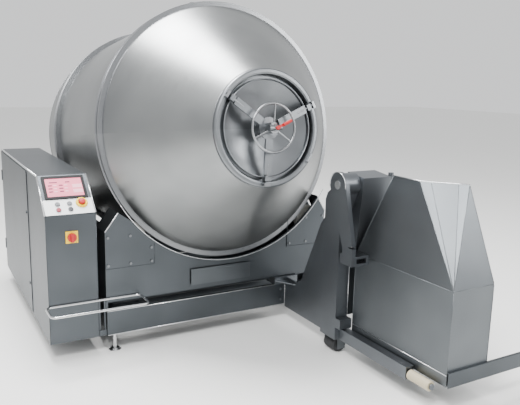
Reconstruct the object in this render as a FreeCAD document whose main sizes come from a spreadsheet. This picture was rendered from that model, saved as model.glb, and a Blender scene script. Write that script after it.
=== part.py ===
"""Vacuum tumbler for meat: a tilted drum on four rollers, its control cabinet and a tipping loader.

Working axes: X to the right, Y away from the operator, Z up. The front running ring's centre
stands over x = 0, y = 0 before the whole machine is moved so that the middle of its footprint
is the origin. Lengths are millimetres and angles are degrees.
"""
import FreeCAD, Part
import math
import os
import re
import Sketcher

V = FreeCAD.Vector
DOC = FreeCAD.newDocument("vacuum_tumbler")
NODES = []

# ---------------------------------------------------------------- driving dimensions
SIZES = {
    # drum, measured from the drum axis and along it from the front running ring
    "drum_tilt": 6,
    "axis_height": 1290,
    "shell_radius": 770,
    "shell_wall": 8,
    "shell_length": 1540,
    "dish_depth": 160,
    "cone_start": 44,
    "mouth_distance": 588,
    "ring_width": 80,
    "ring_spacing": 1180,
    "ring_thickness": 22,
    "flange_height": 8,
    "flange_width": 10,
    "collar_radius": 332,
    "collar_height": 24,
    "collar_roll": 10,
    "mouth_radius": 296,
    "seat_radius": 262,
    "seat_depth": 36,
    "seat_thickness": 10,
    "lug_width": 26,
    "lug_height": 26,
    "paddle_height": 170,
    "paddle_thickness": 10,
    "paddle_length": 1240,
    "paddle_pitch": 20,
    "shaft_radius": 55,
    "shaft_bore": 28,
    "shaft_length": 262,
    "shaft_flange_radius": 160,
    "shaft_flange_thickness": 14,
    "top_lug_length": 340,
    "top_lug_width": 84,
    "top_lug_rise": 36,
    # lid and its locking gear
    "lid_radius": 276,
    "lid_wall": 6,
    "lid_rim_height": 34,
    "lid_dish_depth": 52,
    "seal_thickness": 9,
    "seal_width": 19,
    "spider_width": 34,
    "spider_thickness": 10,
    "spider_hub_radius": 62,
    "spider_angle": 24,
    "bolt_radius": 7,
    "bolt_travel": 28,
    "bolt_length": 96,
    "wheel_radius": 134,
    "wheel_rod": 7,
    "wheel_height": 52,
    "wheel_hub_radius": 30,
    "wheel_spoke": 5,
    "valve_radius": 17,
    "valve_length": 78,
    "valve_lever_length": 92,
    # support rollers
    "roller_radius": 85,
    "roller_width": 54,
    "roller_angle": 46,
    "axle_radius": 20,
    "axle_block": 70,
    "axle_block_depth": 26,
    # frame
    "frame_left_gap": 13,
    "frame_right_inset": 57,
    "frame_front": 140,
    "plate": 12,
    "ground_clearance": 105,
    "rail_height": 100,
    "rail_width": 80,
    "rail_wall": 6,
    "frame_tail": 300,
    "front_saddle_depth": 182,
    "rear_saddle_gap": 150,
    "saddle_bottom": 310,
    "saddle_gap": 22,
    "inner_saddle_gap": 40,
    "shoulder_rise": 234,
    "peak_rise": 344,
    "peak_inset": 82,
    "cover_height": 332,
    "cover_width": 300,
    "cover_depth": 150,
    "cover_sheet": 4,
    "beam_height": 150,
    "beam_sheet": 6,
    "strap_height": 230,
    "beam_overhang": 8,
    "post_width": 240,
    "post_depth": 90,
    "foot_radius": 38,
    "foot_stem": 12,
    "screw_radius": 8,
    "screw_head": 6,
    # operator guard loop
    "guard_overhang": 18,
    "guard_length": 550,
    "guard_reach": 170,
    "guard_height": 332,
    "guard_rod": 7,
    "guard_corner": 34,
    # control cabinet
    "cabinet_width": 282,
    "cabinet_gap": 58,
    "cabinet_back": 1540,
    "cabinet_top": 1050,
    "cabinet_fold": 855,
    "cabinet_slope": 212,
    "cabinet_sheet": 4,
    "door_front": 400,
    "door_margin": 30,
    "panel_sheet": 3,
    "screen_width": 236,
    "screen_height": 164,
    "bezel": 16,
    "switch_plate": 68,
    "switch_height": 727,
    "knob_radius": 25,
    "estop_radius": 19,
    "estop_travel": 4,
    "button_radius": 12.5,
    "button_travel": 3,
    "button_pitch": 66,
    # drive and vacuum
    "bearing_width": 60,
    "gearbox_length": 110,
    "gearbox_radius": 120,
    "gearbox_gap": 30,
    "motor_radius": 80,
    "motor_length": 300,
    "union_radius": 44,
    "union_length": 60,
    "pipe_radius": 25,
    "pipe_entry_height": 450,
    "pump_radius": 105,
    "pump_length": 420,
    # loader, parked at the right
    "rail_rod": 15,
    "rail_setback": 75,
    "carriage_length": 180,
    "carriage_height": 46,
    "loader_plane": 417,
    "column_left": 385,
    "console_edge": 170,
    "gusset_run": 80,
    "gusset_drop": 180,
    "gusset_fall": 94,
    "column_back": 640,
    "column_depth": 150,
    "column_width": 85,
    "leg_width": 54,
    "column_foot": 95,
    "pivot_y": 790,
    "pivot_height": 1040,
    "pivot_radius": 25,
    "column_head": 66,
    "leg_end": 1370,
    "leg_height": 70,
    "arm_thickness": 26,
    "arm_head": 74,
    "arm_foot": 45,
    "arm_foot_y": 905,
    "arm_foot_height": 700,
    "housing_length": 200,
    "housing_back": 62,
    "housing_front": 90,
    "housing_foot": 600,
    "knob_shelf": 44,
    "stop_knob_radius": 16,
    "clamp_height": 58,
    "upper_clamp_height": 596,
    "lower_clamp_height": 176,
    "wheel_radius_rear": 46,
    "wheel_width": 104,
    "leg_roller_radius": 27,
    "leg_roller_length": 150,
    # hopper
    "hopper_left": 478,
    "hopper_width": 282,
    "hopper_back": 836,
    "hopper_front": 1590,
    "hopper_bottom": 140,
    "hopper_kink": 635,
    "hopper_top": 1120,
    "spout_left": 555,
    "spout_right": 708,
    "spout_back": 1030,
    "spout_front": 1426,
    "spout_fall": 45,
    "hopper_sheet": 5,
    "lip_length": 560,
    "lip_height": 80,
    "lip_ledge": 16,
    "lip_sheet": 6,
    # fits
    "running_fit": 0.05,
    "seat_gap": 0.3,
    "easy_gap": 2,
}


def fill_sheet():
    """Write every driving dimension into the document's sheet, one aliased cell each."""
    sheet = DOC.addObject("Spreadsheet::Sheet", "dims")
    for row, (alias, number) in enumerate(SIZES.items(), start=1):
        sheet.set("A%d" % row, alias.replace("_", " "))
        sheet.set("B%d" % row, str(number))
        sheet.setAlias("B%d" % row, alias)
    DOC.recompute()
    return sheet


class Size:
    """A number together with the sheet expression that gives it."""

    def __init__(self, number, text):
        self.number = float(number)
        self.text = text

    def joined(self, sign, other, number, swapped=False):
        """The two terms as one expression, in either order."""
        pair = (text_of(other), self.text) if swapped else (self.text, text_of(other))
        return Size(number, "(%s %s %s)" % (pair[0], sign, pair[1]))

    def __add__(self, other):
        return self.joined("+", other, self.number + number_of(other))

    def __radd__(self, other):
        return self.joined("+", other, self.number + number_of(other), True)

    def __sub__(self, other):
        return self.joined("-", other, self.number - number_of(other))

    def __rsub__(self, other):
        return self.joined("-", other, number_of(other) - self.number, True)

    def __mul__(self, other):
        return self.joined("*", other, self.number * number_of(other))

    def __rmul__(self, other):
        return self.joined("*", other, self.number * number_of(other), True)

    def __truediv__(self, other):
        return self.joined("/", other, self.number / number_of(other))

    def __neg__(self):
        return Size(-self.number, "(0 - %s)" % self.text)

    def __float__(self):
        return self.number


def text_of(term):
    """The expression of a term, which may be a plain number."""
    return term.text if isinstance(term, Size) else "%.9g" % term


def number_of(term):
    """The value of a term, which may be a plain number."""
    return term.number if isinstance(term, Size) else float(term)


class Dims:
    """The sheet's cells by name, each as a Size."""

    def __getattr__(self, alias):
        return Size(SIZES[alias], "dims." + alias)


fill_sheet()
D = Dims()

# sizes that follow from the drum, so the frame and the cabinet stay clear of it
D.tread_radius = D.shell_radius + D.ring_thickness
D.shoulder_height = D.axis_height - D.tread_radius + D.shoulder_rise
D.peak_height = D.axis_height - D.tread_radius + D.peak_rise
D.frame_left = D.tread_radius + D.frame_left_gap
D.frame_right = D.tread_radius - D.frame_right_inset
D.frame_back = D.shell_length + D.frame_tail
D.cabinet_right = D.tread_radius + D.cabinet_gap
D.cabinet_left = D.cabinet_right + D.cabinet_width
D.guard_left = D.cabinet_left + D.guard_overhang
D.guard_right = D.guard_left - D.guard_length
D.beam_right = D.loader_plane + D.beam_overhang
TILT = math.radians(float(D.drum_tilt))


def bind(thing, prop, size):
    """Set a property, through the sheet where the size comes from it."""
    if isinstance(size, Size):
        thing.setExpression(prop, size.text)
    else:
        setattr(thing, prop, size)


# ---------------------------------------------------------------- the drum's own axes
DRUM = FreeCAD.Placement(V(0, 0, float(D.axis_height)), FreeCAD.Rotation(V(1, 0, 0), 90 - float(D.drum_tilt)))


def drum_point(x, rise, along):
    """A point given across, up and along the tilted drum, in the working axes."""
    y = -along * math.cos(TILT) + rise * math.sin(TILT)
    z = float(D.axis_height) + along * math.sin(TILT) + rise * math.cos(TILT)
    return V(x, y, z)


# ---------------------------------------------------------------- ways of making a sub-part
def keep(label, thing, place=None):
    """Name a finished sub-part and put it in its place."""
    thing.Label = label
    if place is not None:
        thing.Placement = place.multiply(thing.Placement)
    NODES.append(thing)
    return thing


def origin_plane(body, role):
    """One of a body's own three planes."""
    return next(f for f in body.Origin.OriginFeatures if f.Role == role)


def place_vertex(sketch, line, across, up):
    """Tie the start of a line to its two distances from the sketch's origin."""
    for kind, size, axis in (("DistanceX", across, -2), ("DistanceY", up, -1)):
        number = number_of(size)
        if abs(number) < 1e-9:
            sketch.addConstraint(Sketcher.Constraint("PointOnObject", line, 1, axis))
            continue
        ends = (-1, 1, line, 1) if number > 0 else (line, 1, -1, 1)
        index = sketch.addConstraint(Sketcher.Constraint(kind, *ends, abs(number)))
        if isinstance(size, Size):
            positive = size if number > 0 else -size
            sketch.setExpression("Constraints[%d]" % index, positive.text)


def outline(body, role, points, name="Outline"):
    """A closed sketch of straight lines on one of the body's planes."""
    sketch = body.newObject("Sketcher::SketchObject", name)
    sketch.AttachmentSupport = [(origin_plane(body, role), "")]
    sketch.MapMode = "FlatFace"
    corners = [V(number_of(a), number_of(b), 0) for a, b in points]
    count = len(corners)
    for i, corner in enumerate(corners):
        sketch.addGeometry(Part.LineSegment(corner, corners[(i + 1) % count]), False)
    for i in range(count):
        sketch.addConstraint(Sketcher.Constraint("Coincident", i, 2, (i + 1) % count, 1))
    for i, (across, up) in enumerate(points):
        place_vertex(sketch, i, across, up)
    return sketch


def round_sketch(body, role, centres, radius, name="Holes"):
    """A sketch of equal circles."""
    sketch = body.newObject("Sketcher::SketchObject", name)
    sketch.AttachmentSupport = [(origin_plane(body, role), "")]
    sketch.MapMode = "FlatFace"
    for i, (across, up) in enumerate(centres):
        centre = V(number_of(across), number_of(up), 0)
        sketch.addGeometry(Part.Circle(centre, V(0, 0, 1), number_of(radius)), False)
        size = sketch.addConstraint(Sketcher.Constraint("Radius", i, number_of(radius)))
        if isinstance(radius, Size):
            sketch.setExpression("Constraints[%d]" % size, radius.text)
        for kind, distance, axis in (("DistanceX", across, -2), ("DistanceY", up, -1)):
            number = number_of(distance)
            if abs(number) < 1e-9:
                sketch.addConstraint(Sketcher.Constraint("PointOnObject", i, 3, axis))
                continue
            ends = (-1, 1, i, 3) if number > 0 else (i, 3, -1, 1)
            index = sketch.addConstraint(Sketcher.Constraint(kind, *ends, abs(number)))
            if isinstance(distance, Size):
                positive = distance if number > 0 else -distance
                sketch.setExpression("Constraints[%d]" % index, positive.text)
    return sketch


def padded(label, role, points, depth, both_ways=False, back=False):
    """A body padded from one outline, away from its plane or back from it."""
    body = DOC.addObject("PartDesign::Body", label + "_body")
    pad = body.newObject("PartDesign::Pad", "Pad")
    pad.Profile = outline(body, role, points)
    bind(pad, "Length", depth)
    pad.Midplane = both_ways
    pad.Reversed = back
    DOC.recompute()
    return body


def pocketed(body, sketch):
    """Cut a sketch right through the body, both ways, and check that it took something."""
    before = body.Shape.Volume
    pocket = body.newObject("PartDesign::Pocket", "Pocket")
    pocket.Profile = sketch
    pocket.Type = "ThroughAll"
    pocket.Midplane = True
    DOC.recompute()
    if body.Shape.Volume > before - 1:
        raise ValueError("a pocket in %s cuts nothing" % body.Name)
    return pocket


def turned(label, points, name=None):
    """A body revolved about its own Z axis from an outline of radius and height."""
    body = DOC.addObject("PartDesign::Body", (name or label) + "_body")
    sketch = outline(body, "XZ_Plane", points)
    turn = body.newObject("PartDesign::Revolution", "Revolution")
    turn.Profile = sketch
    turn.ReferenceAxis = (sketch, ["V_Axis"])
    turn.Angle = 360
    DOC.recompute()
    return body


def box(length, width, height, corner):
    """A box by its sizes and its low corner."""
    thing = DOC.addObject("Part::Box", "Box")
    for prop, size in (("Length", length), ("Width", width), ("Height", height)):
        bind(thing, prop, size)
    thing.Placement.Base = V(*[number_of(c) for c in corner])
    return thing


def rod(radius, length, base, direction=(0, 0, 1)):
    """A cylinder from its base point along a direction."""
    thing = DOC.addObject("Part::Cylinder", "Cylinder")
    bind(thing, "Radius", radius)
    bind(thing, "Height", length)
    turn = FreeCAD.Rotation(V(0, 0, 1), V(*direction))
    thing.Placement = FreeCAD.Placement(V(*[number_of(c) for c in base]), turn)
    return thing


def ring(outer, inner, length, base, direction=(0, 0, 1)):
    """A tube as one cylinder cut by another."""
    tube = DOC.addObject("Part::Cut", "Ring")
    tube.Base = rod(outer, length, base, direction)
    tube.Tool = rod(inner, length, base, direction)
    return tube


def joined(things):
    """Welded pieces as one fused object."""
    weld = DOC.addObject("Part::MultiFuse", "Weld")
    weld.Shapes = things
    weld.Refine = True
    return weld


def cut(base, tools):
    """One object with others cut from it."""
    whole = DOC.addObject("Part::Cut", "Cut")
    whole.Base = base
    whole.Tool = tools[0] if len(tools) == 1 else joined(tools)
    return whole


def group(things):
    """Like pieces kept as separate solids of one sub-part."""
    pack = DOC.addObject("Part::Compound", "Group")
    pack.Links = things
    return pack


def formed(shape):
    """A sub-part whose form is made by shape functions."""
    thing = DOC.addObject("Part::Feature", "Formed")
    thing.Shape = shape
    return thing


def revolved_face(edges, axis=(0, 0, 1)):
    """A solid turned from a closed run of edges in the XZ plane."""
    face = Part.Face(Part.Wire(edges))
    return face.revolve(V(0, 0, 0), V(*axis), 360)


def line(a, b):
    """A straight edge between two (radius, height) points."""
    return Part.LineSegment(V(a[0], 0, a[1]), V(b[0], 0, b[1])).toShape()


def arc(a, middle, b):
    """A round edge through three (radius, height) points."""
    points = [V(p[0], 0, p[1]) for p in (a, middle, b)]
    return Part.Arc(*points).toShape()


def dome(pole, rim_radius, rim_height):
    """A spherical run from the axis out to a rim."""
    rise = rim_height - pole
    sphere = (rim_radius ** 2 + rise ** 2) / (2 * abs(rise))
    half = math.asin(rim_radius / sphere) / 2
    middle = (sphere * math.sin(half), pole + math.copysign(sphere * (1 - math.cos(half)), rise))
    return arc((0, pole), middle, (rim_radius, rim_height))


def bent_path(corners, bend, closed=False):
    """A wire of straight runs with a round bend at each corner."""
    count = len(corners)
    turns = []
    for i, here in enumerate(corners):
        if not closed and i in (0, count - 1):
            turns.append((here, None, here))
            continue
        inward = (corners[i - 1] - here).normalize()
        outward = (corners[(i + 1) % count] - here).normalize()
        half = inward.getAngle(outward) / 2
        back = bend / math.tan(half)
        centre = here + (inward + outward).normalize() * (bend / math.sin(half))
        middle = centre + (here - centre).normalize() * bend
        turns.append((here + inward * back, middle, here + outward * back))
    edges = []
    for i, (start, middle, end) in enumerate(turns):
        if middle is not None:
            edges.append(Part.Arc(start, middle, end).toShape())
        if closed or i < count - 1:
            edges.append(Part.LineSegment(end, turns[(i + 1) % count][0]).toShape())
    return Part.Wire(edges)


def swept(path, radius):
    """A round rod along a wire."""
    edge = path.Edges[0]
    start = edge.valueAt(edge.FirstParameter)
    along = edge.tangentAt(edge.FirstParameter)
    section = Part.Wire([Part.Circle(start, along, radius).toShape()])
    return path.makePipeShell([section], True, False, 2)


def polyhedron(faces):
    """A solid from flat faces given by their corners."""
    shells = [Part.Face(Part.makePolygon([V(*p) for p in face] + [V(*face[0])])) for face in faces]
    solid = Part.Solid(Part.Shell(shells))
    if solid.Volume < 0:
        solid.reverse()
    return solid


# ---------------------------------------------------------------- the drum
def drum_shell():
    """The welded vessel: dished back, cylinder, long front cone, one wall thickness."""
    radius = float(D.shell_radius)
    wall = float(D.shell_wall)
    back = -float(D.shell_length)
    depth = float(D.dish_depth)
    lip = float(D.mouth_distance)
    mouth = float(D.collar_radius)
    start = float(D.cone_start)
    slant = math.hypot(lip - start, radius - mouth)
    cone_wall = wall * slant / (lip - start)

    def dish(r, inset):
        """Crown and knuckle of the back, from the axis to the cylinder."""
        crown_radius = 0.88 * r
        crown_height = back - 0.42 * depth + 0.55 * inset
        knuckle = (0.968 * r, back - 0.17 * depth + 0.3 * inset)
        crown = dome(back - depth + inset, crown_radius, crown_height)
        return [crown, arc((crown_radius, crown_height), knuckle, (r, back))]

    outside = dish(radius, 0)
    outside += [line((radius, back), (radius, start)), line((radius, start), (mouth, lip))]
    inner = mouth - cone_wall
    inside = [line((mouth, lip), (inner, lip)), line((inner, lip), (radius - wall, start - wall / 2))]
    inside += [line((radius - wall, start - wall / 2), (radius - wall, back))]
    inside += dish(radius - wall, wall)
    inside += [line((0, back - depth), (0, back - depth + wall))]
    shell = revolved_face(Part.sortEdges(outside + inside)[0])
    keep("drum_shell", formed(shell), DRUM)


def running_rings():
    """Two flanged tyres welded round the shell, for the rollers."""
    things = []
    for along in (0, -D.ring_spacing):
        half = D.ring_width / 2
        inner = D.shell_radius + D.seat_gap / 3
        rim = D.tread_radius + D.flange_height
        low = along - half
        high = along + half
        points = [
            (inner, low),
            (rim, low),
            (rim, low + D.flange_width),
            (D.tread_radius, low + D.flange_width + D.flange_height / 4),
            (D.tread_radius, high - D.flange_width - D.flange_height / 4),
            (rim, high - D.flange_width),
            (rim, high),
            (inner, high),
        ]
        things.append(turned("ring", points))
    keep("running_rings", group(things), DRUM)


def mouth_collar():
    """Rolled lip of the mouth, with the neck and the flat seat for the lid's seal inside."""
    foot = D.mouth_distance
    face = D.mouth_distance + D.collar_height
    roll = D.collar_roll
    neck = D.mouth_radius + D.shell_wall * 0.75
    seat = foot - D.seat_depth
    points = [
        (D.seat_radius, seat),
        (neck, seat),
        (neck, foot + D.seat_gap / 3),
        (D.collar_radius, foot + D.seat_gap / 3),
        (D.collar_radius, face - roll),
        (D.collar_radius - roll / 3, face - roll / 3),
        (D.collar_radius - roll, face),
        (D.mouth_radius + roll * 1.2, face),
        (D.mouth_radius + roll * 0.3, face - roll / 3),
        (D.mouth_radius, face - roll),
        (D.mouth_radius, seat + D.seat_thickness),
        (D.seat_radius, seat + D.seat_thickness),
    ]
    keep("mouth_collar", turned("mouth_collar", points), DRUM)


def spider_directions():
    """The three arm directions, as angles in radians."""
    return [math.radians(float(D.spider_angle) + 120 * k) for k in range(3)]


def radial_box(angle, inner, outer, width, low, high):
    """A bar that runs outwards from the drum axis at one angle."""
    bar = box(outer - inner, width, high - low, (0, 0, 0))
    turn = FreeCAD.Rotation(V(0, 0, 1), math.degrees(angle))
    start = turn.multVec(V(number_of(inner), -number_of(width) / 2, number_of(low)))
    bar.Placement = FreeCAD.Placement(start, turn)
    return bar


def collar_lugs():
    """Three drilled lugs on the lip that the locking bolts enter, and the small lid catch."""
    face = D.mouth_distance + D.collar_height
    things = []
    for angle in spider_directions():
        inner = D.mouth_radius + D.collar_roll * 1.2
        lug = radial_box(angle, inner, D.collar_radius - D.collar_roll, D.lug_width * 1.5, face, face + D.lug_height)
        out = V(math.cos(angle), math.sin(angle), 0)
        start = out * number_of(inner - D.easy_gap) + V(0, 0, bolt_height())
        hole = rod(D.bolt_radius + D.running_fit * 10, D.lug_width + D.easy_gap * 3, start, out)
        things.append(cut(lug, [hole]))
    catch = radial_box(math.radians(-34), D.mouth_radius + D.collar_roll * 1.2, D.collar_radius - D.collar_roll,
                       D.lug_width * 2, face, face + D.lug_height / 2)
    things.append(catch)
    keep("collar_lugs", group(things), DRUM)


def bolt_height():
    """Distance of the locking bolts along the drum axis."""
    return float(D.mouth_distance + D.collar_height + D.lug_height / 2)


def mixing_paddles():
    """Three pitched baffles inside the shell that lift the meat."""
    things = []
    inside = D.shell_radius - D.shell_wall
    for k in range(3):
        angle = math.radians(90 + 120 * k)
        outer = inside - D.seat_gap
        blade = radial_box(angle, outer - D.paddle_height, outer, D.paddle_thickness, -D.paddle_length - D.paddle_pitch * 8,
                           -D.paddle_pitch * 8)
        things.append(blade)
    keep("mixing_paddles", group(things), DRUM)


def rear_shaft():
    """Hollow stub shaft on the dished back, through which the air is drawn."""
    back = -(D.shell_length + D.dish_depth) - D.seat_gap
    step = back - D.shaft_flange_thickness
    end = step - D.shaft_length
    points = [
        (D.shaft_bore, back),
        (D.shaft_flange_radius, back),
        (D.shaft_flange_radius, step),
        (D.shaft_radius, step),
        (D.shaft_radius, end),
        (D.shaft_bore, end),
    ]
    keep("rear_shaft", turned("rear_shaft", points), DRUM)


def top_lug():
    """Lifting pad on the shell just behind the front ring, with bevelled ends."""
    half = D.top_lug_length / 2
    radius = float(D.shell_radius + D.seat_gap)
    low = D.shell_radius - D.top_lug_rise
    high = D.shell_radius + D.top_lug_rise
    points = [(-half, low), (half, low), (half, high - D.top_lug_rise * 0.75), (half * 0.86, high), (-half * 0.86, high),
              (-half, high - D.top_lug_rise * 0.75)]
    pad = padded("top_lug", "XY_Plane", points, D.top_lug_width)
    whole = cut(pad, [rod(D.shell_radius + D.seat_gap, D.top_lug_width * 3, (0, 0, -D.top_lug_width))])
    back = float(D.ring_width / 2 + D.top_lug_width + D.easy_gap * 10)
    lifted = DRUM.multiply(FreeCAD.Placement(V(0, 0, -back), FreeCAD.Rotation()))
    keep("top_lug", whole, lifted)


# ---------------------------------------------------------------- the lid
def lid_seat():
    """Height of the lid's underside along the drum axis."""
    return D.mouth_distance - D.seat_depth + D.seat_thickness + D.seal_thickness + D.seat_gap * 2


def lid_dish():
    """Hollow-faced lid: a rolled rim round a dished plate, with a flange over the seal."""
    seat = float(lid_seat())
    rim = float(D.lid_radius)
    wall = float(D.lid_wall)
    top = seat + float(D.lid_rim_height)
    flange = rim + wall * 1.6
    inner = rim - wall * 1.3
    deep = seat - float(D.lid_dish_depth)
    edges = [
        dome(deep, inner - wall, seat),
        line((inner - wall, seat), (flange, seat)),
        line((flange, seat), (flange, seat + wall)),
        line((flange, seat + wall), (rim, seat + wall)),
        line((rim, seat + wall), (rim, top - wall / 2)),
        arc((rim, top - wall / 2), ((rim + inner) / 2, top), (inner, top - wall / 2)),
        line((inner, top - wall / 2), (inner, seat + wall * 1.4)),
        dome(deep + wall, inner, seat + wall * 1.4),
        line((0, deep + wall), (0, deep)),
    ]
    keep("lid_dish", formed(revolved_face(edges)), DRUM)


def lid_seal():
    """Flat rubber ring between the lid's flange and its seat."""
    top = lid_seat() - D.seat_gap
    outer = D.lid_radius + D.lid_wall
    inner = outer - D.seal_width
    points = [(inner, top - D.seal_thickness), (outer, top - D.seal_thickness), (outer, top), (inner, top)]
    keep("lid_seal", turned("lid_seal", points), DRUM)


def spider_base():
    """Height of the underside of the lid's arms."""
    return lid_seat() + D.lid_rim_height + D.seat_gap


def lid_spider():
    """Three flat arms from a hub, each ending in a guide block for its locking bolt."""
    base = spider_base()
    top = base + D.spider_thickness
    arms = []
    blocks = []
    bores = []
    middle = bolt_height()
    reach = D.mouth_radius - D.easy_gap
    for angle in spider_directions():
        arms.append(radial_box(angle, D.spider_hub_radius / 2, reach, D.spider_width, base, top))
        blocks.append(radial_box(angle, reach - D.lug_width, reach, D.spider_width, base,
                                 D.mouth_distance + D.collar_height + D.lug_height))
        out = V(math.cos(angle), math.sin(angle), 0)
        start = out * number_of(reach - D.lug_width * 2) + V(0, 0, middle)
        bores.append(rod(D.bolt_radius + D.running_fit, D.lug_width * 4, start, out))
    deep = lid_seat() - D.lid_dish_depth + D.lid_wall + D.seat_gap * 4.5
    hub = [rod(D.spider_hub_radius * 0.62, base - deep, (0, 0, deep)), rod(D.spider_hub_radius, D.spider_thickness, (0, 0, base))]
    keep("lid_spider", cut(joined(arms + blocks + hub), bores), DRUM)


def locking_bolts():
    """Three round bolts that run outwards through the guide blocks when the handwheel turns."""
    for k, angle in enumerate(spider_directions(), start=1):
        out = V(math.cos(angle), math.sin(angle), 0)
        tip = float(D.mouth_radius - D.easy_gap)
        start = out * (tip - float(D.bolt_length)) + V(0, 0, bolt_height())
        keep("locking_bolt_%d" % k, rod(D.bolt_radius, D.bolt_length, start, out), DRUM)


def handwheel():
    """Thin-rimmed wheel with three spokes on a bored hub."""
    height = spider_base() + D.spider_thickness + D.wheel_height
    rim = DOC.addObject("Part::Torus", "Rim")
    bind(rim, "Radius1", D.wheel_radius)
    bind(rim, "Radius2", D.wheel_rod)
    rim.Placement.Base = V(0, 0, number_of(height))
    foot = spider_base() + D.spider_thickness + D.seat_gap
    hub = rod(D.wheel_hub_radius, height + D.wheel_rod - foot, (0, 0, foot))
    spokes = []
    for angle in spider_directions():
        out = V(math.cos(angle + math.pi / 3), math.sin(angle + math.pi / 3), 0)
        spokes.append(rod(D.wheel_spoke, D.wheel_radius, (0, 0, height), out))
    bore = rod(D.valve_radius + D.running_fit, D.wheel_height * 4, (0, 0, foot - D.wheel_height))
    keep("handwheel", cut(joined([rim, hub] + spokes), [bore]), DRUM)


def valve_top():
    """Height of the top of the valve's stem."""
    return spider_base() + D.spider_thickness + D.seat_gap / 3 + D.valve_length


def vacuum_valve():
    """Ball valve on the lid's hub: a stem through the wheel and a cross body with a nozzle."""
    foot = spider_base() + D.spider_thickness + D.seat_gap / 3
    stem = rod(D.valve_radius, valve_top() - foot, (0, 0, foot))
    across = rod(D.valve_radius * 0.82, D.valve_radius * 4.6, (-D.valve_radius * 2.7, 0, valve_top()), (1, 0, 0))
    nut = rod(D.valve_radius * 1.05, D.valve_radius, (-D.valve_radius * 2.7, 0, valve_top()), (1, 0, 0))
    keep("vacuum_valve", joined([stem, across, nut]), DRUM)


def valve_lever():
    """Flat lever with a grip, on the valve's spindle."""
    height = valve_top() + D.valve_radius * 0.82 + D.seat_gap
    turn = V(math.cos(math.radians(24)), math.sin(math.radians(24)), 0)
    hub = rod(D.valve_radius * 0.6, D.valve_radius * 0.7, (0, 0, height))
    arm = radial_box(math.radians(24), D.valve_radius * 0.2, D.valve_lever_length * 0.5, D.valve_radius * 0.8, height,
                     height + D.valve_radius * 0.4)
    start = turn * number_of(D.valve_lever_length * 0.4) + V(0, 0, number_of(height + D.valve_radius * 0.5))
    grip = rod(D.valve_radius * 0.5, D.valve_lever_length * 0.6, start, turn)
    keep("valve_lever", joined([hub, arm, grip]), DRUM)


# ---------------------------------------------------------------- rollers
ROLLERS = {
    "front_left_roller": (-1, 0),
    "front_right_roller": (1, 0),
    "rear_left_roller": (-1, 1),
    "rear_right_roller": (1, 1),
}


def roller_spot(side, row):
    """A roller's centre across, up and along the drum's own axes."""
    distance = float(D.tread_radius + D.roller_radius + D.seat_gap)
    angle = math.radians(float(D.roller_angle))
    return side * distance * math.sin(angle), -distance * math.cos(angle), -row * float(D.ring_spacing)


def rollers():
    """Four plastic rollers under the rings, bored for their axles."""
    for label, (side, row) in ROLLERS.items():
        half = D.roller_width / 2
        hub = D.roller_radius * 0.5
        dish = D.roller_width / 8
        points = [
            (D.axle_radius + D.running_fit, -half),
            (hub, -half),
            (hub, -half + dish),
            (D.roller_radius * 0.82, -half + dish),
            (D.roller_radius * 0.82, -half),
            (D.roller_radius, -half),
            (D.roller_radius, half),
            (D.roller_radius * 0.82, half),
            (D.roller_radius * 0.82, half - dish),
            (hub, half - dish),
            (hub, half),
            (D.axle_radius + D.running_fit, half),
        ]
        body = turned(label, points)
        spot = FreeCAD.Placement(V(*roller_spot(side, row)), FreeCAD.Rotation())
        keep(label, body, DRUM.multiply(spot))


def saddle_planes(row):
    """The two inner faces, along Y, between which a pair of rollers stands."""
    if row == 0:
        front = -float(D.frame_front) + float(D.plate)
        return front, front + float(D.front_saddle_depth) - 2 * float(D.plate)
    middle = drum_point(*roller_spot(1, row)).y
    half = float(D.rear_saddle_gap) / 2
    return middle - half, middle + half


def roller_axles():
    """Fixed axles between the saddle plates, parallel to the drum."""
    axles = []
    blocks = []
    for side, row in ROLLERS.values():
        x, rise, along = roller_spot(side, row)
        middle = drum_point(x, rise, along)
        low, high = saddle_planes(row)
        slant = float(D.axle_radius) * math.sin(TILT) + 1
        ends = [(middle.y - y) / math.cos(TILT) for y in (low + slant, high - slant)]
        start = drum_point(x, rise, along + ends[1])
        direction = V(0, -math.cos(TILT), math.sin(TILT))
        axles.append(rod(D.axle_radius, ends[0] - ends[1], start, direction))
        for face, sign in ((low, 1), (high, -1)):
            height = middle.z - (face - middle.y) * math.tan(TILT)
            half = D.axle_block / 2
            depth = D.axle_block_depth
            corner = (x - float(half), face if sign > 0 else face - float(depth), height - float(half))
            block = box(D.axle_block, depth, D.axle_block, corner)
            far = drum_point(x, rise, along - 400)
            blocks.append(cut(block, [rod(D.axle_radius + D.running_fit, 800, far, direction)]))
    keep("roller_axles", group(axles))
    keep("axle_blocks", group(blocks))


# ---------------------------------------------------------------- the frame
def tube(length, width, height, corner):
    """A hollow section with closed ends."""
    outer = box(length, width, height, corner)
    wall = D.rail_wall
    inner = box(length - wall * 2, width - wall * 2, height - wall * 2, [c + wall for c in corner])
    return cut(outer, [inner])


def base_frame():
    """Two long hollow rails, three cross tubes and the raked post behind the drum."""
    floor = D.ground_clearance
    front = -D.frame_front + D.plate
    length = D.frame_back - front
    left = -D.frame_left + D.plate
    right = D.frame_right - D.plate - D.rail_width
    rails = [tube(D.rail_width, length, D.rail_height, (x, front, floor)) for x in (left, right)]
    span = right - left - D.rail_width
    inner = left + D.rail_width
    backs = [D.cabinet_slope, D.frame_back / 2, D.frame_back - D.post_depth]
    ties = [tube(span, D.post_depth, D.rail_height, (inner, y, floor)) for y in backs]
    keep("base_frame", joined(rails + ties))


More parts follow.
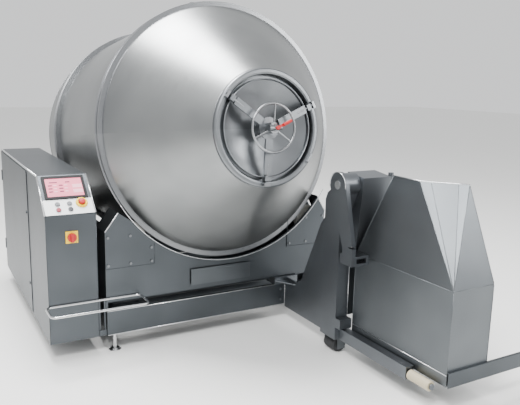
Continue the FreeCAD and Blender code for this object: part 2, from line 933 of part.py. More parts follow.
def rear_post():
    """Fabricated post that carries the drum's rear bearing, its top cut to the drum's tilt."""
    seat = bearing_base()
    front = D.frame_back - D.post_depth
    foot = D.ground_clearance + D.rail_height
    rise = float(D.post_depth) * math.tan(TILT)
    points = [(front, foot), (D.frame_back, foot), (D.frame_back, Size(seat - rise / 2, "%.6f" % (seat - rise / 2))),
              (front, Size(seat + rise / 2, "%.6f" % (seat + rise / 2)))]
    post = padded("rear_post", "YZ_Plane", points, D.post_width, both_ways=True)
    keep("rear_post", post)


def bearing_along():
    """Where the rear bearing's middle lies along the drum axis."""
    y = float(D.frame_back - D.post_depth / 2)
    return -(y / math.cos(TILT))


def bearing_base():
    """Height of the rear bearing's foot at its middle."""
    drop = float(D.shaft_radius) * 1.9
    return drum_point(0, -drop, bearing_along()).z - 2.5


def rear_bearing():
    """Pillow block round the stub shaft."""
    along = bearing_along()
    half = D.bearing_width / 2
    outer = D.shaft_radius * 1.6
    drop = D.shaft_radius * 1.9
    house = rod(outer, D.bearing_width, (0, 0, along - float(half)))
    foot = box(D.post_width * 0.92, drop, D.bearing_width, (-D.post_width * 0.46, -drop, along - float(half)))
    bore = rod(D.shaft_radius + D.running_fit, D.bearing_width * 3, (0, 0, along - float(D.bearing_width) * 1.5))
    keep("rear_bearing", cut(joined([house, foot]), [bore]), DRUM)


def saddle(left, right, bottom, low, thickness, row, gap):
    """One upright plate, hollowed for the drum, with sloping shoulders."""
    drop = 0 if row == 0 else float(D.ring_spacing) * math.sin(TILT)
    radius = D.tread_radius + D.flange_height + gap
    middle = number_of(low) + float(thickness) / 2
    centre = float(D.axis_height) - middle * math.tan(TILT)
    reach = math.sqrt(float(radius) ** 2 - (centre - float(D.peak_height) + drop + 66) ** 2)
    shoulder = D.shoulder_height - drop
    peak = D.peak_height - drop
    points = [
        (-left, bottom),
        (right, bottom),
        (right, shoulder),
        (right - D.peak_inset * 0.8, peak),
        (reach, peak - 66),
        (reach, centre),
        (-reach, centre),
        (-reach, peak - 66),
        (-left + D.peak_inset, peak),
        (-left, shoulder),
    ]
    body = padded("saddle", "XZ_Plane", points, thickness, back=True)
    pocketed(body, round_sketch(body, "XZ_Plane", [(0, centre)], radius))
    body.Placement.Base = V(0, number_of(low), 0)
    return body


def saddles():
    """Two welded saddles, each of two cut-out plates and two end plates, that hold the axles."""
    left = D.frame_left
    right = D.frame_right
    base = D.ground_clearance + D.rail_height + D.seat_gap / 3
    for label, row in (("front_saddle", 0), ("rear_saddle", 1)):
        low, high = saddle_planes(row)
        drop = 0 if row == 0 else float(D.ring_spacing) * math.sin(TILT)
        front = saddle(left, right, D.saddle_bottom if row == 0 else base, low - float(D.plate), D.plate, row,
                       D.saddle_gap if row == 0 else D.inner_saddle_gap)
        back = saddle(left, right, base, high, D.plate, row, D.inner_saddle_gap)
        top = D.shoulder_height - drop
        ends = [box(D.plate, high - low, top - base, (x, low, base)) for x in (-left, right - D.plate)]
        keep(label, joined([front, back] + ends))


def front_beam():
    """Folded channel across the front, low under the slot, with two straps beside the cabinet."""
    front = -D.frame_front - D.plate
    back = -D.frame_front + D.plate - D.seat_gap
    floor = D.ground_clearance
    top = floor + D.beam_height
    sheet = D.beam_sheet
    points = [(front, floor), (back, floor), (back, floor + sheet), (front + sheet, floor + sheet),
              (front + sheet, top - sheet), (back, top - sheet), (back, top), (front, top)]
    body = padded("front_beam", "YZ_Plane", points, D.frame_left + D.beam_right)
    body.Placement.Base = V(-float(D.frame_left), 0, 0)
    pieces = [body]
    strap = D.plate * 0.8
    for x in (-D.cabinet_right + D.seat_gap, -D.frame_left - strap * 1.4):
        pieces.append(box(strap, sheet, D.strap_height, (x, -D.frame_front + sheet, floor)))
    link = D.cabinet_right - D.frame_left - D.seat_gap
    pieces.append(box(link + sheet, sheet, D.plate * 3, (-D.frame_left - link, -D.frame_front, floor)))
    keep("front_beam", joined(pieces))


def roller_covers():
    """Bolted covers over the front rollers: a face plate and a sloping roof each."""
    front = -D.frame_front - D.cover_sheet
    shoulder = D.shoulder_height
    peak = D.peak_height
    radius = D.tread_radius + D.flange_height + D.saddle_gap
    centre = float(D.axis_height) + float(D.frame_front) * math.tan(TILT)
    bottom = peak - D.cover_height
    reach = math.sqrt(float(radius) ** 2 - (centre - float(peak) + 66) ** 2)
    covers = []
    for side, edge, inset in ((-1, D.frame_left, D.peak_inset), (1, D.frame_right, D.peak_inset * 0.8)):
        inner = edge - D.cover_width
        points = [(side * edge, bottom), (side * inner, bottom), (side * inner, peak - 66), (side * reach, peak - 66),
                  (side * (edge - inset), peak), (side * edge, shoulder)]
        face = padded("cover", "XZ_Plane", points, D.cover_sheet, back=True)
        pocketed(face, round_sketch(face, "XZ_Plane", [(0, centre)], radius))
        face.Placement.Base = V(0, number_of(front), 0)
        covers.append(face)
        slope = V(float(edge - inset) - float(edge), 0, float(peak - shoulder)) if side > 0 else V(
            -float(edge - inset) + float(edge), 0, float(peak - shoulder))
        roof = box(slope.Length, D.cover_depth + D.cover_sheet, D.cover_sheet, (0, 0, 0))
        angle = math.degrees(math.atan2(slope.z, slope.x))
        turn = FreeCAD.Rotation(V(0, 1, 0), -angle)
        start = V(side * float(edge), number_of(front), float(shoulder))
        lift = float(D.seat_gap) * 1.5
        if side > 0:
            start = start + turn.multVec(V(0, 0, -float(D.cover_sheet)))
            lift = -lift
        roof.Placement = FreeCAD.Placement(start + turn.multVec(V(0, 0, lift)), turn)
        covers.append(roof)
    keep("roller_covers", group(covers))


def levelling_feet():
    """Four screwed feet: a stem and a round pad."""
    feet = []
    x_left = -D.frame_left + D.plate + D.rail_width / 2
    x_right = D.frame_right - D.plate - D.rail_width / 2
    for x in (x_left, x_right):
        for y in (-D.frame_front + D.plate * 2.2, D.frame_back - D.post_depth / 2):
            pad = DOC.addObject("Part::Cone", "Pad")
            bind(pad, "Radius1", D.foot_radius)
            bind(pad, "Radius2", D.foot_radius * 0.6)
            bind(pad, "Height", D.foot_stem)
            pad.Placement.Base = V(number_of(x), number_of(y), 0)
            stem = rod(D.foot_stem, D.ground_clearance - D.seat_gap / 3, (x, y, 0))
            feet.append(joined([pad, stem]))
    keep("levelling_feet", group(feet))


def guard_loop():
    """Bent-rod loop that keeps people off the loader's track."""
    left = -float(D.guard_left)
    right = -float(D.guard_right)
    back = -float(D.frame_front + D.seat_gap + D.guard_rod)
    front = back - float(D.guard_reach)
    height = float(D.guard_height)
    corners = [V(x, y, height) for x, y in ((left, back), (right, back), (right, front), (left, front))]
    keep("guard_loop", formed(swept(bent_path(corners, float(D.guard_corner), True), float(D.guard_rod))))


def guide_rail():
    """Round rail in the slot over the front beam, along which the loader travels."""
    length = D.frame_left + D.frame_right - D.plate * 2
    y = rail_line()
    height = rail_height()
    keep("guide_rail", rod(D.rail_rod, length - D.seat_gap, (-D.frame_left + D.plate + D.seat_gap / 2, y, height), (1, 0, 0)))


def rail_line():
    """The guide rail's place along Y."""
    return -D.frame_front + D.rail_setback


def rail_height():
    """The guide rail's height, at the middle of the slot."""
    return (D.ground_clearance + D.beam_height + D.saddle_bottom) / 2


def screws():
    """Domed heads on the roller covers and on the front beam's end."""
    heads = []
    cover_face = -D.frame_front - D.cover_sheet
    beam_face = -D.frame_front - D.plate
    low = D.peak_height - D.cover_height + 22
    for side, edge in ((-1, D.frame_left), (1, D.frame_right)):
        for inset, height in ((16, low), (150, low), (280, low), (280, low + 84), (150, low + 168), (16, low + 168)):
            heads.append((side * (edge - inset), cover_face, height))
    for height in (D.ground_clearance + 38, D.ground_clearance + D.beam_height - 38):
        heads.append((D.beam_right - 36, beam_face, height))
    rods = [rod(D.screw_radius, D.screw_head, (x, y, z), (0, -1, 0)) for x, y, z in heads]
    keep("cover_screws", group(rods))


# ---------------------------------------------------------------- the control cabinet
def cabinet_profile(inset, floor_inset):
    """Side outline of the cabinet in Y and Z, drawn in by a sheet thickness."""
    front = -D.frame_front + inset
    back = D.cabinet_back - inset
    top = D.cabinet_top - inset
    return [
        (front, D.ground_clearance + floor_inset),
        (back, D.ground_clearance + floor_inset),
        (back, top),
        (front + D.cabinet_slope, top),
        (front, D.cabinet_fold),
    ]


def cabinet_shell():
    """Folded cabinet with a sloping console and an open rear side behind the door."""
    sheet = D.cabinet_sheet
    width = D.cabinet_left - D.cabinet_right
    outer = padded("cabinet_outer", "YZ_Plane", cabinet_profile(0, 0), width)
    inner = padded("cabinet_inner", "YZ_Plane", cabinet_profile(sheet, sheet), width - sheet * 2)
    inner.Placement.Base = V(float(sheet), 0, 0)
    opening = box(sheet * 3, D.cabinet_back - D.door_front - D.door_margin * 2,
                  D.cabinet_top - D.ground_clearance - D.door_margin * 2,
                  (-sheet, D.door_front + D.door_margin, D.ground_clearance + D.door_margin))
    side = FreeCAD.Placement(V(-float(D.cabinet_left), 0, 0), FreeCAD.Rotation())
    keep("cabinet_shell", cut(outer, [inner, opening]), side)


def cabinet_door():
    """Flat hinged side door over the service opening, with its two hinge barrels."""
    sheet = D.cabinet_sheet
    pin = D.screw_radius * 0.6
    length = D.cabinet_back - D.door_front - pin
    height = D.cabinet_top - D.ground_clearance - D.door_margin
    face = -D.cabinet_left - D.seat_gap
    leaf = box(sheet, length, height, (face - sheet, D.door_front, D.ground_clearance + D.door_margin / 2))
    barrels = [rod(pin, 80, (face - pin, D.cabinet_back - pin, z)) for z in (D.ground_clearance + 160, D.cabinet_top - 240)]
    locks = [rod(pin * 2, pin, (face - sheet, D.door_front + 40, z), (-1, 0, 0))
             for z in (D.ground_clearance + 200, D.cabinet_top - 280)]
    keep("cabinet_door", joined([leaf] + locks + barrels))


def slope_angle():
    """Pitch of the console, from level."""
    return math.atan2(float(D.cabinet_top - D.cabinet_fold), float(D.cabinet_slope))


def console_place(across, up, lift):
    """A spot on the console: across from its middle, up from its lower fold, off its face."""
    pitch = slope_angle()
    x = -float(D.cabinet_left + D.cabinet_right) / 2 + across
    y = -float(D.frame_front) + up * math.cos(pitch) - lift * math.sin(pitch)
    z = float(D.cabinet_fold) + up * math.sin(pitch) + lift * math.cos(pitch)
    turn = FreeCAD.Rotation(V(1, 0, 0), math.degrees(pitch))
    return (FreeCAD.Placement(V(x, y, z), turn))


def centred_plate(label, width, height, thickness, across, up, lift):
    """A plate lying on the console, centred across it."""
    half = width / 2
    body = padded(label, "XY_Plane", [(-half, 0), (half, 0), (half, height), (-half, height)], thickness)
    keep(label, body, console_place(number_of(across), number_of(up), number_of(lift)))
    return body


def console_parts():
    """Light console plate, screen in its bezel, and the push controls with their seats."""
    gap = D.seat_gap
    width = D.cabinet_left - D.cabinet_right - D.cabinet_sheet
    length = math.hypot(float(D.cabinet_top - D.cabinet_fold), float(D.cabinet_slope)) - 6
    face = gap + D.panel_sheet
    bezel_up = length - float(D.screen_height) - 8
    strip = bezel_up - 5
    centred_plate("control_panel", width, Size(strip, "%.6f" % strip), D.panel_sheet, 0, 3, gap)
    half = D.screen_width / 2
    rim = D.bezel
    body = padded("screen_bezel", "XY_Plane", [(-half, 0), (half, 0), (half, D.screen_height), (-half, D.screen_height)],
                  D.panel_sheet * 3)
    window = outline(body, "XY_Plane", [(-half + rim, rim), (half - rim, rim), (half - rim, D.screen_height - rim),
                                        (-half + rim, D.screen_height - rim)], "Window")
    pocketed(body, window)
    keep("screen_bezel", body, console_place(0, bezel_up, float(gap)))
    centred_plate("touch_screen", D.screen_width - rim * 2 - gap * 2, D.screen_height - rim * 2 - gap * 2,
                  D.panel_sheet * 2, 0, bezel_up + float(rim + gap), float(gap))
    row = bezel_up / 2 - 1
    base = float(face + gap)
    estop_x = float(D.screen_width) / 2 - 43
    estop_up = row + 22
    collar = D.estop_travel + D.panel_sheet
    bore = D.estop_radius * 0.55
    outer = D.estop_radius * 1.45
    seat = turned("e_stop_collar", [(bore, 0), (outer, 0), (outer, collar * 0.6), (outer * 0.86, collar), (bore, collar)])
    seat.Placement = console_place(estop_x, estop_up, base)
    collars = [seat]
    stem = bore - gap
    low = D.estop_travel + gap
    head = collar + D.estop_travel + gap
    knob = turned("e_stop_button", [(0, low), (stem, low), (stem, head), (D.estop_radius, head),
                                    (D.estop_radius, head + D.estop_radius * 0.4),
                                    (D.estop_radius * 0.8, head + D.estop_radius * 0.6),
                                    (0, head + D.estop_radius * 0.65)])
    keep("e_stop_button", knob, console_place(estop_x, estop_up, base))
    rim = D.button_travel + D.panel_sheet / 2
    for k in range(4):
        across = -float(D.screen_width) / 2 + 58 + (k % 2) * float(D.button_pitch)
        up = row + (20 if k < 2 else -20)
        place = console_place(across, up, base)
        inside = D.button_radius + gap
        ring_points = [(inside, 0), (inside + 2, 0), (inside + 2, rim), (inside, rim)]
        holder = turned("button_collar", ring_points)
        holder.Placement = place
        collars.append(holder)
        low = D.button_travel + gap
        high = low + rim
        button = turned("push_button_%d" % (k + 1), [(0, low), (D.button_radius, low), (D.button_radius, high),
                                                     (D.button_radius * 0.8, high + 1), (0, high + 1)])
        keep("push_button_%d" % (k + 1), button, place)
    keep("button_collars", group(collars))


def main_switch():
    """Square switch plate with a turning knob on the cabinet's front."""
    half = D.switch_plate / 2
    x = -float(D.cabinet_left + D.cabinet_right) / 2
    y = -float(D.frame_front)
    z = float(D.switch_height)
    facing = FreeCAD.Rotation(V(1, 0, 0), 90)
    plate = padded("main_switch_plate", "XY_Plane", [(-half, -half), (half, -half), (half, half), (-half, half)], D.plate / 2)
    keep("main_switch_plate", plate, (FreeCAD.Placement(V(x, y - float(D.seat_gap), z), facing)))
    base = float(D.seat_gap) * 2 + float(D.plate) / 2
    disc = rod(D.knob_radius, D.plate, (0, 0, 0))
    grip = box(D.knob_radius * 0.6, D.knob_radius * 2, D.plate, (-D.knob_radius * 0.3, -D.knob_radius, D.plate))
    place = FreeCAD.Placement(V(x, y - base, z), facing)
    keep("main_switch_knob", joined([disc, grip]), place)


# ---------------------------------------------------------------- drive and vacuum
def gear_motor():
    """Shaft-mounted gearbox on the stub shaft behind the bearing, its motor upright."""
    start = bearing_along() - float(D.bearing_width) / 2 - float(D.gearbox_length) - float(D.gearbox_gap)
    house = rod(D.gearbox_radius, D.gearbox_length, (0, 0, start))
    neck_z = start + float(D.gearbox_length) / 2
    motor = rod(D.motor_radius, D.motor_length, (D.gearbox_radius * 0.8, 0, neck_z), (1, 0, 0))
    bore = rod(D.shaft_radius + D.running_fit, D.gearbox_length * 3, (0, 0, start - float(D.gearbox_length)))
    torque_arm = box(D.plate * 2, D.gearbox_radius * 1.3, D.plate * 2, (-D.plate, -D.gearbox_radius * 2, start + 20))
    keep("gear_motor", cut(joined([house, motor, torque_arm]), [bore]), DRUM)


def shaft_tail():
    """Where the stub shaft ends along the drum axis."""
    return -float(D.shell_length + D.dish_depth + D.seat_gap + D.shaft_flange_thickness + D.shaft_length)


def vacuum_line():
    """Rotary union on the shaft's end and the pipe that drops and runs low to the cabinet's back."""
    tail = shaft_tail()
    length = D.union_length
    gap = float(D.seat_gap)
    keep("rotary_union", ring(D.union_radius, D.pipe_radius * 0.8, length, (0, 0, tail - gap - float(length))), DRUM)
    end = tail - 2 * gap - float(length)
    start = drum_point(0, 0, end)
    elbow = drum_point(0, 0, end - float(D.pipe_radius) * 4)
    x = -float(D.cabinet_left + D.cabinet_right) / 2
    low = float(D.pipe_entry_height)
    drop = V(0, elbow.y, low)
    turn_in = V(x, elbow.y, low)
    entry = V(x, float(D.cabinet_back) + gap, float(D.pipe_entry_height))
    path = bent_path([start, elbow, drop, turn_in, entry], float(D.pipe_radius) * 2.4)
    outside = swept(path, float(D.pipe_radius))
    keep("vacuum_pipe", formed(outside.cut(swept(path, float(D.pipe_radius) - 3))))


def floor_height():
    """Top of the cabinet's floor sheet."""
    return D.ground_clearance + D.cabinet_sheet


def vacuum_pump():
    """Oil-sealed pump on the cabinet's floor: a motor barrel and a finned case."""
    x = -(D.cabinet_left + D.cabinet_right) / 2
    base = floor_height() + D.seat_gap / 3
    height = base + D.pump_radius + D.plate
    barrel = rod(D.pump_radius * 0.8, D.pump_length / 2, (x, D.cabinet_back / 2, height), (0, 1, 0))
    case = box(D.pump_radius * 2, D.pump_length / 2, D.pump_radius * 2 + D.plate * 2,
               (x - D.pump_radius, D.cabinet_back / 2 - D.pump_length / 2, base))
    foot = box(D.pump_radius * 1.2, D.pump_length / 2, D.pump_radius * 0.5, (x - D.pump_radius * 0.6, D.cabinet_back / 2, base))
    keep("vacuum_pump", joined([barrel, case, foot]))


# ---------------------------------------------------------------- the loader
def loader_console():
    """Gusset plate from the column to the carriage that runs on the guide rail, with its bracket."""
    x = D.loader_plane - D.carriage_length / 2 + D.plate / 2
    low = rail_height() - D.carriage_height / 2
    back = rail_line() + D.rail_rod * 2
    block = box(D.carriage_length, back + D.console_edge, D.carriage_height, (x, -D.console_edge, low))
    start = (x - D.carriage_length / 2, rail_line(), rail_height())
    bore = rod(D.rail_rod + D.running_fit * 2, D.carriage_length * 2, start, (1, 0, 0))
    foot = D.column_foot
    slot = rail_height() + D.carriage_height / 2
    points = [
        (-D.console_edge + 2, foot),
        (-D.console_edge + 2, slot),
        (-D.console_edge - 130, slot),
        (-D.console_edge - 190, slot + 30),
        (-D.column_back + D.gusset_run, D.pivot_height - D.gusset_drop - D.gusset_fall),
        (-D.column_back, D.pivot_height - D.gusset_drop),
        (-D.column_back, foot),
    ]
    plate = padded("gusset", "YZ_Plane", points, D.plate)
    plate.Placement.Base = V(float(D.loader_plane), 0, 0)
    corner = padded("corner_bracket", "XY_Plane",
                    [(0, 0), (-D.carriage_length / 2 + D.plate, 0), (0, -D.carriage_length * 0.7)], D.plate / 2)
    corner.Placement.Base = V(float(D.loader_plane), -float(D.console_edge), number_of(slot - D.carriage_height / 2))
    keep("loader_console", cut(joined([block, plate, corner]), [bore]))


def loader_column():
    """Column with a rounded head round the pivot, and the cheeks of the wheel under it."""
    back = -D.column_back
    front = back - D.column_depth
    pivot = -D.pivot_y
    head = D.column_head
    x = D.column_left
    width = D.column_width
    outline_points = [
        (back, D.column_foot), (front, D.column_foot), (front, D.pivot_height - 150), (pivot - head, D.pivot_height),
        (pivot + head, D.pivot_height), (back - 55, D.pivot_height - 38), (back - 18, D.pivot_height - 66),
        (back, D.pivot_height - 110),
    ]
    post = padded("column_post", "YZ_Plane", outline_points, width)
    post.Placement.Base = V(float(x), 0, 0)
    crown = rod(head, width, (x, pivot, D.pivot_height), (1, 0, 0))
    bore = rod(D.pivot_radius + D.running_fit, width * 3, (x - width, pivot, D.pivot_height), (1, 0, 0))
    cheek = D.plate / 2
    radius = D.wheel_radius_rear
    axle = D.axle_radius * 0.5
    pieces = [post, crown]
    for y in (back - cheek * 2, front + cheek):
        pieces.append(box(D.leg_width, cheek, D.column_foot - radius + axle * 2, (D.loader_plane, y, radius - axle * 2)))
    middle = D.loader_plane + D.leg_width / 2
    pieces.append(rod(axle, D.column_depth - cheek * 2, (middle, back - cheek, radius), (0, -1, 0)))
    rest = D.hopper_back - D.column_back - D.column_depth - D.seat_gap / 3
    pieces.append(box(width, rest, D.clamp_height, (x, front - rest, D.lower_clamp_height)))
    keep("loader_column", cut(joined(pieces), [bore]))


def loader_leg():
    """Hollow leg beside the hopper, with a recessed end plate that carries the end roller's axle."""
    gap = D.seat_gap / 3
    front = D.leg_end
    back = D.column_back + D.column_depth + gap
    x = D.loader_plane
    wall = D.rail_wall
    length = front - back
    outer = box(D.leg_width, length, D.leg_height, (x, -front, D.column_foot))
    inner = box(D.leg_width - wall * 2, length - wall * 2, D.leg_height - wall * 2,
                (x + wall, -front + wall * 2, D.column_foot + wall))
    mouth = box(D.leg_width - wall * 2, wall * 2, D.leg_height - wall * 2, (x + wall, -front - wall, D.column_foot + wall))
    axle = D.axle_radius * 0.5
    spot = (x + D.leg_width / 2, -front + wall, D.column_foot + D.leg_height * 0.4)
    reach = wall + D.leg_roller_length + D.easy_gap * 4
    stub = rod(axle, reach, spot, (0, -1, 0))
    end = (spot[0], -front + wall - reach, spot[2])
    cap = rod(axle * 1.6, wall, end, (0, -1, 0))
    keep("loader_leg", joined([cut(outer, [inner, mouth]), stub, cap]))


def bored_roller(label, radius, width, spot):
    """A plastic roller with eased edges, bored for its axle, turning about Y."""
    core = D.axle_radius * 0.5 + D.running_fit
    ease = 3
    points = [(core, 0), (radius - ease, 0), (radius, ease), (radius, width - ease), (radius - ease, width), (core, width)]
    turn = FreeCAD.Rotation(V(0, 0, 1), V(0, -1, 0))
    keep(label, turned(label, points), FreeCAD.Placement(V(*[number_of(c) for c in spot]), turn))


def loader_rollers():
    """Wheel under the column, and the nylon roller on the leg's end that guides the bin."""
    x = D.loader_plane + D.leg_width / 2
    start = -D.column_back - (D.column_depth - D.wheel_width) / 2
    bored_roller("column_wheel", D.wheel_radius_rear, D.wheel_width, (x, start, D.wheel_radius_rear))
    height = D.column_foot + D.leg_height * 0.4
    bored_roller("leg_end_roller", D.leg_roller_radius, D.leg_roller_length, (x, -D.leg_end - D.easy_gap * 2, height))


def pivot_shaft():
    """Fixed shaft through the column head, on which the tipping frame swings."""
    start = arm_plane() - D.easy_gap
    end = D.column_left + D.column_width + D.easy_gap + D.housing_length - D.plate
    keep("pivot_shaft", rod(D.pivot_radius, end - start, (start, -D.pivot_y, D.pivot_height), (1, 0, 0)))


def arm_plane():
    """Left face of the tipping arm."""
    return D.column_left - D.arm_thickness - D.easy_gap


def tipping_arm():
    """Lifting arm outside the column, with the bracket that grips the hopper's back corner."""
    x = arm_plane()
    thick = D.arm_thickness
    pivot = V(0, -float(D.pivot_y), float(D.pivot_height))
    foot = V(0, -float(D.arm_foot_y), float(D.arm_foot_height))
    down = (foot - pivot).normalize()
    side = V(0, down.z, -down.y)
    head_radius = float(D.arm_head)
    foot_radius = float(D.arm_foot)
    corners = [pivot + side * head_radius, pivot - side * head_radius, foot - side * foot_radius, foot + side * foot_radius]
    web = formed(Part.Face(Part.makePolygon(corners + [corners[0]])).extrude(V(float(thick), 0, 0)))
    web.Placement.Base = V(number_of(x), 0, 0)
    head = rod(D.arm_head, thick, (x, -D.pivot_y, D.pivot_height), (1, 0, 0))
    heel = box(thick, D.arm_foot * 2, D.arm_foot_height - D.upper_clamp_height, (x, -D.arm_foot_y - D.arm_foot, D.upper_clamp_height))
    grip_back = -D.hopper_back - D.easy_gap * 3
    grip = box(D.hopper_left - x - D.seat_gap / 3, D.arm_foot_y + D.arm_foot + grip_back, D.clamp_height,
               (x, -D.arm_foot_y - D.arm_foot, D.upper_clamp_height))
    window = box(D.hopper_left - D.column_left - D.plate * 2, D.arm_foot * 3, D.clamp_height / 2,
                 (D.column_left + D.plate * 0.6, -D.arm_foot_y - D.arm_foot * 1.5, D.upper_clamp_height + D.clamp_height / 4))
    bore = rod(D.pivot_radius + D.running_fit, thick * 3, (x - thick, -D.pivot_y, D.pivot_height), (1, 0, 0))
    keep("tipping_arm", cut(joined([head, web, heel, grip]), [bore, window]))


def cross_housing():
    """Folded housing from the pivot down the hopper's back, with the stop knob on its shelf."""
    x = D.column_left + D.column_width + D.easy_gap
    back = -D.pivot_y + D.housing_back
    front = -D.pivot_y - D.housing_front
    top = D.pivot_height + D.housing_back
    foot = -D.hopper_back + D.seat_gap / 3
    points = [(back, top), (front, top - 18), (foot, D.hopper_kink), (foot, D.housing_foot), (foot + D.plate * 1.5, D.housing_foot),
              (back, D.pivot_height - 90)]
    body = padded("cross_housing", "YZ_Plane", points, D.housing_length)
    body.Placement.Base = V(number_of(x), 0, 0)
    rim = rod(D.pivot_radius * 1.6, D.housing_length, (x, -D.pivot_y, D.pivot_height), (1, 0, 0))
    bore = rod(D.pivot_radius + D.running_fit, D.housing_length * 3, (x - D.housing_length, -D.pivot_y, D.pivot_height), (1, 0, 0))
    hollow = box(D.housing_length - D.plate * 2, D.housing_front, D.housing_back * 2.6,
                 (x + D.plate, -D.pivot_y - D.housing_front * 0.72, D.pivot_height - D.housing_back * 2.2))
    shelf = box(D.knob_shelf, D.plate * 3, D.plate, (x + D.housing_length, front + D.plate, top - D.plate * 4))
    knob = rod(D.stop_knob_radius, D.plate * 3, (x + D.housing_length + D.knob_shelf / 2, front + D.plate * 2.5, top - D.plate * 3))
    keep("cross_housing", cut(joined([cut(body, [hollow]), rim, shelf, knob]), [bore]))


def hopper_corners(inset):
    """Corners of the hopper's bottom and fold, and of its spout, drawn in by a thickness."""
    left = float(D.hopper_left) + inset
    right = float(D.hopper_left + D.hopper_width) - inset
    back = -float(D.hopper_back) - inset
    front = -float(D.hopper_front) + inset
    bottom = [(left, back), (left, front), (right, front), (right, back)]
    side = float(D.spout_left)
    far = float(D.spout_right)
    rear = -float(D.spout_back)
    run = float(D.spout_front - D.spout_back)
    width = far - side
    folds = [(side, rear - 0.505 * run), (side + 0.215 * width, rear - 0.624 * run),
             (side + 0.81 * width, rear - 0.886 * run)]
    folds = [(x + inset, y + inset) for x, y in folds]
    nose = (far - inset, -float(D.spout_front) + 3 * inset)
    return bottom, [(side + inset, rear - inset)] + folds + [nose, (far - inset, rear - inset)]


def hopper_solid(inset, low, high):
    """The folded hopper as a solid: an upright box below, facets up to the spout above."""
    box_corners, rim = hopper_corners(inset)
    kink = float(D.hopper_kink)
    at = lambda point, z: (point[0], point[1], z)
    low_ring = [at(p, low) for p in box_corners]
    kink_ring = [at(p, kink) for p in box_corners]
    top_ring = [at(p, high) for p in rim]
    back_left, front_left, front_right, back_right = kink_ring
    faces = [low_ring, top_ring]
    for i in range(4):
        faces.append([low_ring[i], low_ring[(i + 1) % 4], kink_ring[(i + 1) % 4], kink_ring[i]])
    faces.append([back_left, front_left, top_ring[1], top_ring[0]])
    for i in (1, 2, 3):
        faces.append([front_left, top_ring[i], top_ring[i + 1]])
    faces.append([front_left, front_right, top_ring[4]])
    faces.append([front_right, back_right, top_ring[5], top_ring[4]])
    faces.append([back_right, back_left, top_ring[0], top_ring[5]])
    return polyhedron(faces)


def hopper():
    """Sheet hopper: closed back, front and left, open to the right for the bin, spout on top."""
    sheet = float(D.hopper_sheet)
    low = float(D.hopper_bottom)
    high = float(D.hopper_top)
    outer = hopper_solid(0, low, high)
    inner = hopper_solid(sheet, low + sheet, high)
    shell = outer.cut(inner)
    bay = Part.makeBox(float(D.hopper_width), float(D.hopper_front - D.hopper_back) - 2 * sheet,
                       float(D.hopper_kink) - low - 2 * sheet,
                       V(float(D.hopper_left + D.hopper_width) - 3 * sheet, -float(D.hopper_front) + sheet, low + sheet))
    _, rim = hopper_corners(0)
    along = V(rim[4][0] - rim[0][0], rim[4][1] - rim[0][1], 0)
    fall = V(rim[5][0] - rim[0][0], 0, -float(D.spout_fall))
    turn = FreeCAD.Rotation(along, fall, V(0, 0, 1), "XYZ")
    reach = float(D.hopper_width) * 2
    slant = Part.makeBox(reach * 2, reach, reach, V(-reach / 2, 0, 0))
    slant.Placement = FreeCAD.Placement(V(rim[0][0], rim[0][1], high), turn)
    keep("hopper", formed(shell.cut(bay).cut(slant)))


def lip_rail():
    """Angle along the hopper's front foot that holds the bin's edge."""
    front = -D.hopper_front - D.lip_ledge
    top = D.hopper_bottom + D.lip_height
    low = D.hopper_bottom
    sheet = D.lip_sheet
    points = [(front, low), (front + sheet, low), (front + sheet, top - sheet), (front + D.lip_ledge - D.seat_gap, top - sheet),
              (front + D.lip_ledge - D.seat_gap, top), (front, top)]
    body = padded("lip_rail", "YZ_Plane", points, D.lip_length)
    keep("lip_rail", body, (FreeCAD.Placement(V(float(D.hopper_left), 0, 0), FreeCAD.Rotation())))


# ---------------------------------------------------------------- build
for make in (drum_shell, running_rings, mouth_collar, collar_lugs, mixing_paddles, rear_shaft, top_lug, lid_dish,
             lid_seal, lid_spider, locking_bolts, handwheel, vacuum_valve, valve_lever, rollers, roller_axles,
             base_frame, rear_post, rear_bearing, saddles, front_beam, roller_covers, levelling_feet,
             guard_loop, guide_rail, screws, cabinet_shell, cabinet_door, console_parts, main_switch, gear_motor,
             vacuum_line, vacuum_pump, loader_console, loader_column, loader_leg, loader_rollers,
             pivot_shaft, tipping_arm, cross_housing, hopper, lip_rail):
    make()


def check(things):
    """Stop if any object failed or any sub-part has no sound shape."""
    for thing in DOC.Objects:
        if "Invalid" in thing.State or "Error" in thing.State:
            raise ValueError("%s (%s) failed: %s" % (thing.Name, thing.Label, thing.State))
    for thing in things:
        if thing.Shape.isNull() or not thing.Shape.isValid() or not thing.Shape.Solids:
            raise ValueError("%s has no sound solid" % thing.Label)


def stand_on_origin(things):
    """Move everything so that the middle of the machine's footprint is the origin."""
    extent = FreeCAD.BoundBox()
    for thing in things:
        extent.add(thing.Shape.optimalBoundingBox(False, False))
    shift = FreeCAD.Placement(V(-extent.Center.x, -extent.Center.y, 0), FreeCAD.Rotation())
    for thing in things:
        thing.Placement = shift.multiply(thing.Placement)
    return shift.Base


DOC.recompute()
MOVED = stand_on_origin(NODES)
DOC.recompute()
check(NODES)
os.makedirs("parts", exist_ok=True)
for node in NODES:
    node.Shape.exportStep("parts/%s.step" % node.Label)
    print("%-22s %2d solids %8.1f litres" % (node.Label, len(node.Shape.Solids), node.Shape.Volume / 1e6))
print(len(NODES), "nodes, moved by", [round(c, 3) for c in MOVED])
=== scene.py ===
"""Dresses the vacuum tumbler: steel finishes, seams, rims, latches and the lit screen, with a stage to show it on.

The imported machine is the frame. Everything here is in metres, in the machine's own frame.
"""
import math

import bmesh
import bpy
from bpy.props import FloatProperty, FloatVectorProperty, PointerProperty
from mathutils import Matrix, Vector


